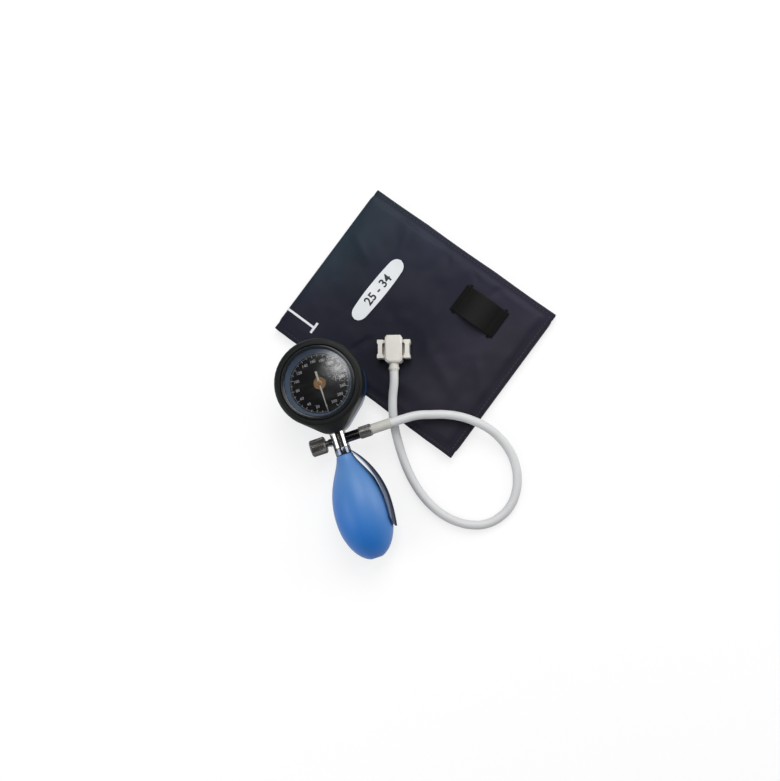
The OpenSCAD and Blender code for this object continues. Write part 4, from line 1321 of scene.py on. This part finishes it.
@dataclass
class Hose:
    """The hose from the valve's nut to the fitting on the cuff."""

    shop: Workshop
    radius: float = 3.6
    points: Sequence[Sequence[float]] = (
        (-56.9, -47, 22.5), (-46.9, -47, 22.5), (-36.9, -47, 22.5), (-27.9, -47, 21.2),
        (-15.9, -47.6, 18.6), (-4.9, -50.4, 16.2), (6.3, -54, 14.1), (17.1, -59.4, 12.6),
        (26.5, -66.4, 11.8), (35.1, -75.2, 10.4), (41.3, -85.2, 7.2), (45.3, -96.6, 4.7),
        (46.3, -108.5, 3.8), (44.3, -120, 3.7), (39.3, -130.8, 3.7), (31.5, -139.6, 3.7),
        (21.1, -145.2, 3.7), (9.1, -147, 3.7), (-2.5, -144.2, 3.7), (-12.7, -138.2, 3.7),
        (-21.3, -130, 3.7), (-27.9, -120.2, 3.7), (-32.9, -109.2, 3.7), (-36.1, -97.6, 3.7),
        (-37.9, -86, 3.7), (-38.5, -74.2, 4.2), (-38.1, -62.4, 6.6), (-36.9, -51, 9.8),
        (-34.5, -39.2, 11.8), (-30.7, -27.4, 13.6), (-25.7, -16.2, 15.7), (-22.6, -6.7, 15.7))

    def build(self) -> Piece:
        """Runs the hose along its route.

        Returns:
            The hose.
        """
        curve = bpy.data.curves.new("hose_line", "CURVE")
        curve.dimensions = "3D"
        curve.bevel_depth = self.radius * MM
        curve.bevel_resolution = 7
        curve.use_fill_caps = True
        curve.resolution_u = 8
        line = curve.splines.new("BEZIER")
        line.bezier_points.add(len(self.points) - 1)
        for knot, point in zip(line.bezier_points, self.points):
            knot.co = MM * Vector(point)
            knot.handle_left_type = knot.handle_right_type = "AUTO"
        made = shown("hose_tube", curve)
        curve.materials.append(self.shop.materials["hose_rubber"])
        self.shop.mount(made, "hose_rubber", Body.INSTRUMENT, ["hose"])
        return made


# ---- The gauge head

@dataclass
class Head:
    """The front of the gauge: bezel, lens, dial marks and the case round them."""

    shop: Workshop
    front_z: float = 45.0
    lip_z: float = 43.3
    lens_z: float = 41.6
    lens_rim: float = 1.4
    lens_rise: float = 1.4
    lens_r: float = 28.2
    case_top: float = 41.0
    case_in: float = 28.4
    opening_r: float = 26.9
    bezel_r: float = 29.9
    dial_top: float = 34.4
    full_scale: int = 300
    sweep: float = 338.3
    tick_out: float = 24.0
    boss_r: float = 4.9
    boss_faces: tuple[float, float] = (0.31, 0.5)
    bezel_rounds: tuple[float, float] = (1.6, 1.3)
    tick_lengths: tuple[float, float, float] = (2.6, 2.1, 1.3)
    tick_widths: tuple[float, float] = (0.34, 0.17)
    figure_r: float = 18.7
    figure_height: float = 2.35
    print_gap: float = 0.02
    print_thick: float = 0.05

    def bezel(self) -> Piece:
        """Turns the rounded ring that holds the lens.

        Returns:
            The bezel ring.
        """
        inner, outer = self.bezel_rounds
        profile = [(self.opening_r, self.lip_z),
                   *arc((self.opening_r + inner, self.front_z - inner), inner, 180, 90, 6),
                   *arc((self.bezel_r - outer, self.front_z - outer), outer, 90, 0, 10),
                   (self.bezel_r, self.case_top), (self.case_in, self.case_top), (self.case_in, self.lip_z)]
        return self.shop.piece("bezel_shape", turned(profile, Axis.DIAL, 128), "bezel_black", Body.INSTRUMENT,
                               ["bezel_ring"], "black_plastic")

    def lens(self) -> Piece:
        """Turns the domed lens.

        Returns:
            The lens.
        """
        rim = self.lens_z + self.lens_rim
        dome = [(self.lens_r * u, rim + self.lens_rise * (1 - u * u)) for u in (1 - i / 24 for i in range(24))]
        profile = [(0.0, self.lens_z), (self.lens_r, self.lens_z), *dome, (0.0, rim + self.lens_rise)]
        return self.shop.piece("lens_shape", turned(profile, Axis.DIAL, 128, False), "clear_lens",
                               Body.INSTRUMENT, ["lens"])

    def angle(self, value: float) -> float:
        """Direction of a reading on the dial, in radians."""
        return math.radians(-90.0 - value / self.full_scale * self.sweep)

    def scale(self) -> Piece:
        """Prints the ticks and figures of the scale.

        Returns:
            The whole scale, as one piece.
        """
        shape = bmesh.new()
        lift, thick = self.dial_top + self.print_gap, self.print_thick
        long, middle, short = self.tick_lengths
        broad, fine = self.tick_widths
        for value in range(0, self.full_scale + 1, 2):
            tens, twenties = value % 10 == 0, value % 20 == 0
            length = long if twenties else middle if tens else short
            self.bar(shape, self.angle(value), self.tick_out - length, self.tick_out,
                     broad if tens else fine, lift, thick)
        for value in range(0, self.full_scale + 1, 20):
            figures = lettering(str(value), self.figure_height, thick)
            spot = self.figure_r * Vector((math.cos(self.angle(value)), math.sin(self.angle(value)), 0))
            bmesh.ops.translate(figures, verts=figures.verts[:], vec=spot + Vector((0, 0, lift)))
            join(shape, figures)
        place(shape, Axis.DIAL.matrix(GAUGE))
        return self.shop.piece("dial_scale", shape, "dial_ink", Body.INSTRUMENT, slot="dial_black")

    def bar(self, shape: bmesh.types.BMesh, angle: float, r0: float, r1: float, width: float, z: float,
            thick: float) -> None:
        """Adds one tick that points at the dial's middle.

        Args:
            shape: What it is added to.
            angle: Its direction in radians.
            r0: Radius of its inner end, in millimetres.
            r1: Radius of its outer end.
            width: Its width.
            z: Height of its foot.
            thick: How far it stands up.
        """
        matrix = (Matrix.Rotation(angle, 4, "Z") @ Matrix.Translation(((r0 + r1) / 2, 0, z + thick / 2))
                  @ Matrix.Diagonal((r1 - r0, width, thick, 1.0)))
        bmesh.ops.create_cube(shape, size=1.0, matrix=matrix)

    def boss(self) -> Piece:
        """Turns the brown washer round the pointer's arbor.

        Returns:
            The washer.
        """
        low, high = (self.dial_top + up for up in self.boss_faces)
        profile = [(1.0, low), (self.boss_r, low), (self.boss_r, high - 0.08), (self.boss_r - 0.1, high),
                   (1.0, high)]
        return self.shop.piece("boss_washer", turned(profile, Axis.DIAL, 64), "boss_brown", Body.INSTRUMENT,
                               slot="brass")

    def build(self) -> None:
        """Makes all the pieces of the head."""
        self.bezel()
        self.lens()
        self.scale()
        self.boss()
        self.shop.softened("bumper", "black_rubber", Body.INSTRUMENT, 0.25, 2, 50)
        self.shop.softened("rear_shell", "shell_blue", Body.INSTRUMENT, 0.3, 2, 50)
        for node in ("case_screws", "stem_screw"):
            self.shop.softened(node, "steel", Body.INSTRUMENT, 0.1)
        self.shop.softened("pointer_hub", "brass", Body.POINTER, 0.08)


def join(shape: bmesh.types.BMesh, other: bmesh.types.BMesh) -> None:
    """Adds one shape to another and frees it.

    Args:
        shape: What is added to.
        other: What is added and freed.
    """
    data = bpy.data.meshes.new("joined")
    other.to_mesh(data)
    other.free()
    shape.from_mesh(data)
    bpy.data.meshes.remove(data)


# ---- The valve, the bulb and the spoon

@dataclass
class Valve:
    """The chromed column with its knurled knob and hose nut."""

    shop: Workshop
    column_r: float = 6.5
    knob_r: float = 6.9
    knob_in: float = 11.5
    knob_len: float = 12.7
    knob_bore: float = 2.65
    knob_teeth: int = 36
    nut_r: float = 5.0
    nut_in: float = 17.05
    nut_end: float = 27.4
    nut_bore: float = 3.65
    nut_seat: float = 3.46
    nut_teeth: int = 26

    def knob(self) -> Piece:
        """Knurls the release knob, with a plain chamfer at each end and a dished face.

        Returns:
            The knob.
        """
        r, near, far = self.knob_r, -self.knob_in, -self.knob_in - self.knob_len
        rings = [(self.knob_bore, near, 0), (r - 1.0, near, 0), (r - 0.35, near - 0.5, 0),
                 (r, near - 1.0, 0.42), (r, far + 1.0, 0.42), (r - 0.35, far + 0.5, 0),
                 (r - 1.0, far, 0), (r - 2.2, far, 0), (r - 2.7, far + 0.55, 0),
                 (0.3, far + 0.65, 0), (0.3, far + 6.2, 0), (self.knob_bore, far + 6.4, 0)]
        return self.shop.piece("knob_shape", stacked(rings, self.knob_teeth, Axis.CROSS), "dark_nickel",
                               Body.KNOB, ["valve_knob"], sharp=25)

    def nut(self) -> Piece:
        """Knurls the nut that holds the hose.

        Returns:
            The nut.
        """
        r, near, far, bore = self.nut_r, self.nut_in, self.nut_end, self.nut_bore
        rings = [(self.nut_seat, near, 0), (r - 0.6, near, 0), (r - 0.2, near + 0.4, 0),
                 (r, near + 0.8, 0.35), (r, far - 1.6, 0.35), (r - 0.15, far - 1.2, 0),
                 (r - 0.15, far - 0.5, 0), (r - 0.6, far, 0),
                 (bore + 0.05, far, 0), (bore + 0.05, far - 2.5, 0), (self.nut_seat, far - 2.6, 0)]
        return self.shop.piece("nut_shape", stacked(rings, self.nut_teeth, Axis.CROSS), "dark_nickel", Body.NUT,
                               ["hose_nut"], sharp=25)

    def column(self) -> Piece:
        """Copies the column, and makes its round wall shine as a true cylinder.

        Returns:
            The column.
        """
        made = self.shop.piece("valve_body_shape", merged("valve_body"), "chrome", Body.INSTRUMENT,
                               ["valve_body"])
        data = made.data
        normals = [Vector(corner.vector) for corner in data.corner_normals]
        for face in data.polygons:
            for corner in face.loop_indices:
                dot = data.vertices[data.loops[corner].vertex_index].co
                out = Vector((dot.x - MM * GAUGE.x, 0, dot.z - MM * GAUGE.stem_z))
                on_wall = abs(out.length - MM * self.column_r) < 0.02 * MM
                if on_wall and face.normal.dot(out.normalized()) > 0.96:
                    normals[corner] = out.normalized()
        data.normals_split_custom_set(normals)
        return made

    def build(self) -> None:
        """Makes all the pieces of the valve."""
        self.knob()
        self.nut()
        self.column()
        self.shop.softened("valve_bonnet", "chrome", Body.INSTRUMENT, 0.12)
        self.shop.softened("hose_nipple", "black_chrome", Body.INSTRUMENT, 0.12, slot="dark_nickel")
        self.shop.softened("hose_sleeve", "cream_plastic", Body.INSTRUMENT, 0.15)


def cubic(a: float, b: float, c: float, d: float, t: float) -> float:
    """One coordinate of a cubic curve."""
    u = 1 - t
    return a * u ** 3 + 3 * b * t * u * u + 3 * c * t * t * u + d * t ** 3


@dataclass
class Bulb:
    """The squeeze bulb."""

    shop: Workshop
    radius: float = 22.5
    start: float = 59.8
    length: float = 85.8
    widest: float = 50.0
    neck_r: float = 6.8
    wall: float = 2.2
    nipple_r: float = 4.65
    nipple_end: float = 69.8
    intake_r: float = 4.55
    intake_len: float = 9.0

    def outline(self, wall: float, steps: int) -> list[tuple]:
        """Profile from the neck to the tip, drawn in by a wall.

        Args:
            wall: How far it is drawn in, in millimetres.
            steps: Steps along each half.

        Returns:
            (radius, station) points.
        """
        front = [(cubic(self.neck_r, self.neck_r + 1.2, self.radius, self.radius, t) - wall,
                  self.start + self.widest * cubic(0, 0.2, 0.44, 1, t))
                 for t in (i / steps for i in range(steps + 1))]
        half, end = self.length - self.widest, math.acos(self.intake_r / self.radius)
        back = [(self.radius * math.cos(a) - wall,
                 self.start + self.widest + half * math.sin(a) / math.sin(end))
                for a in (end * i / steps for i in range(1, steps + 1))]
        return front + back

    def build(self) -> None:
        """Turns the bulb, and rounds its rims."""
        outer = self.outline(0.0, 32)
        cavity = self.start + self.length - self.intake_len
        inner = [p for p in self.outline(self.wall, 14) if self.nipple_end + 1 < p[1] < cavity - 2]
        outer[0] = (self.neck_r - 0.5, self.start)
        outer.insert(1, (self.neck_r + 0.02, self.start + 0.5))
        profile = outer + [(self.intake_r, cavity), (self.intake_r + 2, cavity)] + inner[::-1] + [
            (self.nipple_r, self.nipple_end), (self.nipple_r, self.start)]
        self.shop.piece("bulb_shape", turned(profile, Axis.STEM, 112), "bulb_rubber", Body.INSTRUMENT, ["bulb"],
                        sharp=50)
        self.shop.softened("intake_housing", "chrome", Body.INSTRUMENT, 0.15)


@dataclass
class Spoon:
    """The chromed palm spoon on its swivel ring."""

    shop: Workshop
    ring_out: float = 6.5
    ring_in: float = 4.65
    ring_start: float = 53.65
    ring_end: float = 59.65
    ring_round: float = 0.5
    reach: float = 25.6
    thick: float = 1.0
    wrap: float = 56.0
    belly: float = 47.0
    tip: float = 126.8
    tip_margin: float = 0.3

    def station(self, t: float) -> tuple[float, float]:
        """Radius and place down the stem of the blade's outer face, for t from 0 to 2.

        Args:
            t: Share of the way down, from 0 at the ring to 2 at the tip.

        Returns:
            The radius and the place, in millimetres.
        """
        root = (self.ring_start + self.ring_end) / 2
        wide = root + self.belly
        if t <= 1:
            return (cubic(self.ring_out - 0.4, 16, self.reach, self.reach, t),
                    cubic(root, root + 9, root + 27, wide, t))
        u = t - 1
        return self.reach - 2 * u * u, wide + (self.tip - self.tip_margin - wide) * u

    def half_width(self, radius: float, d: float) -> float:
        """Half the blade's angle round the stem, drawn in to a round end at the tip.

        Args:
            radius: Radius of the blade there, in millimetres.
            d: Place down the stem.

        Returns:
            The angle in radians.
        """
        full = math.radians(self.wrap / 2)
        end_r = self.reach * math.sin(full) + 0.6
        left = self.tip - self.tip_margin - d
        if left >= end_r:
            return full
        half = math.sqrt(max(0.0, end_r ** 2 - (end_r - max(left, 0.0)) ** 2))
        return min(full, math.asin(min(1.0, max(half, 0.4) / radius)))

    def build(self) -> None:
        """Presses the blade and turns its ring."""
        shape = bmesh.new()
        bmesh.ops.create_grid(shape, x_segments=64, y_segments=20, size=0.5)
        for dot in shape.verts:
            t = 2 * (dot.co.x + 0.5)
            t = t if t <= 1 else 1 + math.sin((t - 1) * math.pi / 2)
            radius, d = self.station(t)
            angle = 2 * dot.co.y * self.half_width(radius, d)
            r = radius - self.thick / 2
            dot.co = (r * math.cos(angle), r * math.sin(angle), d)
        bmesh.ops.remove_doubles(shape, verts=shape.verts[:], dist=0.02)
        bmesh.ops.recalc_face_normals(shape, faces=shape.faces[:])
        bmesh.ops.solidify(shape, geom=shape.faces[:], thickness=self.thick)
        bmesh.ops.recalc_face_normals(shape, faces=shape.faces[:])
        place(shape, Axis.STEM.matrix(GAUGE))
        blade = self.shop.piece("spoon_blade", shape, "spoon_chrome_painted_shade", Body.SPOON, ["spoon"], "chrome", 50)
        rounded(blade, "dressed_edge", 0.25, 3, 50, harden=True)
        f = self.ring_round
        profile = [(self.ring_in, self.ring_start),
                   *arc((self.ring_out - f, self.ring_start + f), f, -90, 0, 4),
                   *arc((self.ring_out - f, self.ring_end - f), f, 0, 90, 4), (self.ring_in, self.ring_end)]
        self.shop.piece("spoon_ring", turned(profile, Axis.STEM, 96), "spoon_chrome_painted_shade", Body.SPOON,
                        slot="chrome", sharp=30)


# ---- The fitting

@dataclass
class Fitting:
    """The squeeze-tab fitting on the cuff's port."""

    shop: Workshop
    round_body: float = 0.9
    round_tab: float = 0.7

    def build(self) -> None:
        """Rounds the moulded pieces of the fitting and the port."""
        self.shop.softened("fitting_body", "ivory_plastic", Body.INSTRUMENT, self.round_body, 3, 30)
        self.shop.softened("latch_tab_left", "ivory_plastic", Body.LEFT_TAB, self.round_tab, 3, 30)
        self.shop.softened("latch_tab_right", "ivory_plastic", Body.RIGHT_TAB, self.round_tab, 3, 30)
        self.shop.softened("cuff_port", "black_plastic", Body.INSTRUMENT, 0.25)


# ---- Studio

@dataclass
class Studio:
    """Floor, lamps, surroundings and camera."""

    eye: Sequence[float] = (0.02882, -0.14060, 0.88679)
    turn: Sequence[float] = (6.21014099, 6.13165905, -18.0)
    lens: float = 50.0
    ambient: float = 0.42
    glow: float = 0.7
    paper: float = 0.32
    halo: tuple[float, float] = (0.5, 1.8)
    horizon: tuple[float, float] = (0.05, 0.34)
    overhead: float = 0.975
    floor_half: float = 6.0
    floor_drop: float = 0.0001

    def camera(self) -> None:
        """Stands the camera over the table."""
        data = bpy.data.cameras.new("camera")
        data.lens, data.sensor_width = self.lens, 36.0
        data.clip_start, data.clip_end = 0.01, 50.0
        made = shown("camera", data)
        made.location = self.eye
        made.rotation_euler = [math.radians(a) for a in self.turn]
        bpy.context.scene.camera = made

    def lamp(self, name: str, at: Sequence[float], aim: Sequence[float], size: float, power: float,
             colour: Colour = (1.0, 1.0, 1.0), depth: Optional[float] = None) -> None:
        """Adds a soft lamp that faces a point.

        Args:
            name: Name of the lamp.
            at: Its place, in metres.
            aim: The point that it faces, in metres.
            size: Its width, in metres.
            power: Its power in watts.
            colour: Its colour.
            depth: Its other width, in metres, where it isn't round.
        """
        data = bpy.data.lights.new(name, "AREA")
        data.shape, data.size, data.size_y = "ELLIPSE", size, depth or size
        data.energy, data.color = power, colour
        made = shown(name, data)
        made.location = at
        made.rotation_euler = (Vector(aim) - Vector(at)).to_track_quat("-Z", "Y").to_euler()

    def floor(self) -> None:
        """Lays the pale floor, which keeps the shadow."""
        shape = bmesh.new()
        bmesh.ops.create_grid(shape, x_segments=1, y_segments=1, size=self.floor_half)
        bmesh.ops.translate(shape, verts=shape.verts[:], vec=(0, 0, -self.floor_drop))
        data = bpy.data.meshes.new("floor")
        shape.to_mesh(data)
        shape.free()
        made = shown("floor", data)
        net = Net("pale_floor")
        grain = net.noise(net.place(), 400.0, 4.0, 0.6)
        rays = net.rays("Is Camera Ray", "Is Glossy Ray", "Is Transmission Ray")
        matte = net.node("ShaderNodeBsdfDiffuse", None, {
            "Color": net.blend(grain, (self.paper,) * 3, (self.paper * 1.03,) * 3)})
        away = net.node("ShaderNodeVectorMath", {"operation": "LENGTH"}, {0: net.place()}, "Value")
        shine = rays * (away.between(*self.halo) * (1 - self.glow) + self.glow)
        glow = net.node("ShaderNodeEmission", None, {"Color": (1.0, 1.0, 1.0), "Strength": shine})
        data.materials.append(net.close(net.node("ShaderNodeAddShader", None, {0: matte, 1: glow})))

    def surroundings(self) -> None:
        """Gives the world its plain light: white behind the object, dim high up where only gloss sees it."""
        net = Net.of_world("studio")
        camera = net.rays("Is Camera Ray")
        mirror = net.rays("Is Glossy Ray", "Is Transmission Ray")
        up = net.node("ShaderNodeSeparateXYZ", None, {0: net.output(net.source, "Generated")}, 2)
        overhead = 1.0 - up.between(*self.horizon) * self.overhead
        strength = camera + (1 - camera) * (mirror * overhead + (1 - mirror) * self.ambient)
        shade = net.node("ShaderNodeBackground", None, {"Color": (1.0, 1.0, 1.0), "Strength": strength})
        out = net.tree.nodes.new("ShaderNodeOutputWorld")
        net.tree.links.new(shade.socket, out.inputs["Surface"])

    def build(self) -> None:
        """Sets up the studio."""
        bpy.context.scene.view_settings.view_transform = "Standard"
        self.camera()
        self.floor()
        self.surroundings()
        self.lamp("key", (0.42, 0.72, 1.05), (-0.03, 0.0, 0.0), 0.9, 7.7)
        self.lamp("window", (-0.008, 0.32, 1.29), (-0.08, 0.0, 0.04), 0.22, 1.3, depth=0.3)
        self.lamp("side", (0.98, 0.2, 0.42), (-0.05, -0.05, 0.02), 0.8, 4.3)
        self.lamp("fill", (-0.75, -0.03, 0.54), (-0.08, 0.0, 0.03), 0.6, 2.1, (0.95, 0.97, 1.0))


def dress_nodes(shop: Workshop) -> None:
    """Gives every solid part that stays in view the finish that the record names for it."""
    for part in frame["record"]["subparts"]:
        node = frame["nodes"][part["node"]]
        finish = shop.materials[part["material_slot"]]
        if not node.data.materials:
            node.data.materials.append(finish)
        for slot in node.material_slots:
            slot.material = finish


def main() -> None:
    """Builds the studio and dresses the whole instrument."""
    logging.basicConfig(level=logging.INFO, format="%(message)s")
    Studio().build()
    shop = Workshop()
    Hose(shop).build()
    dress_nodes(shop)
    cuff = Cuff(shop)
    cuff.build()
    Loop(shop, cuff).build()
    Head(shop).build()
    Valve(shop).build()
    Bulb(shop).build()
    Spoon(shop).build()
    Fitting(shop).build()
    log.info("%d pieces", shop.count)


if __name__ == "__main__":
    main()
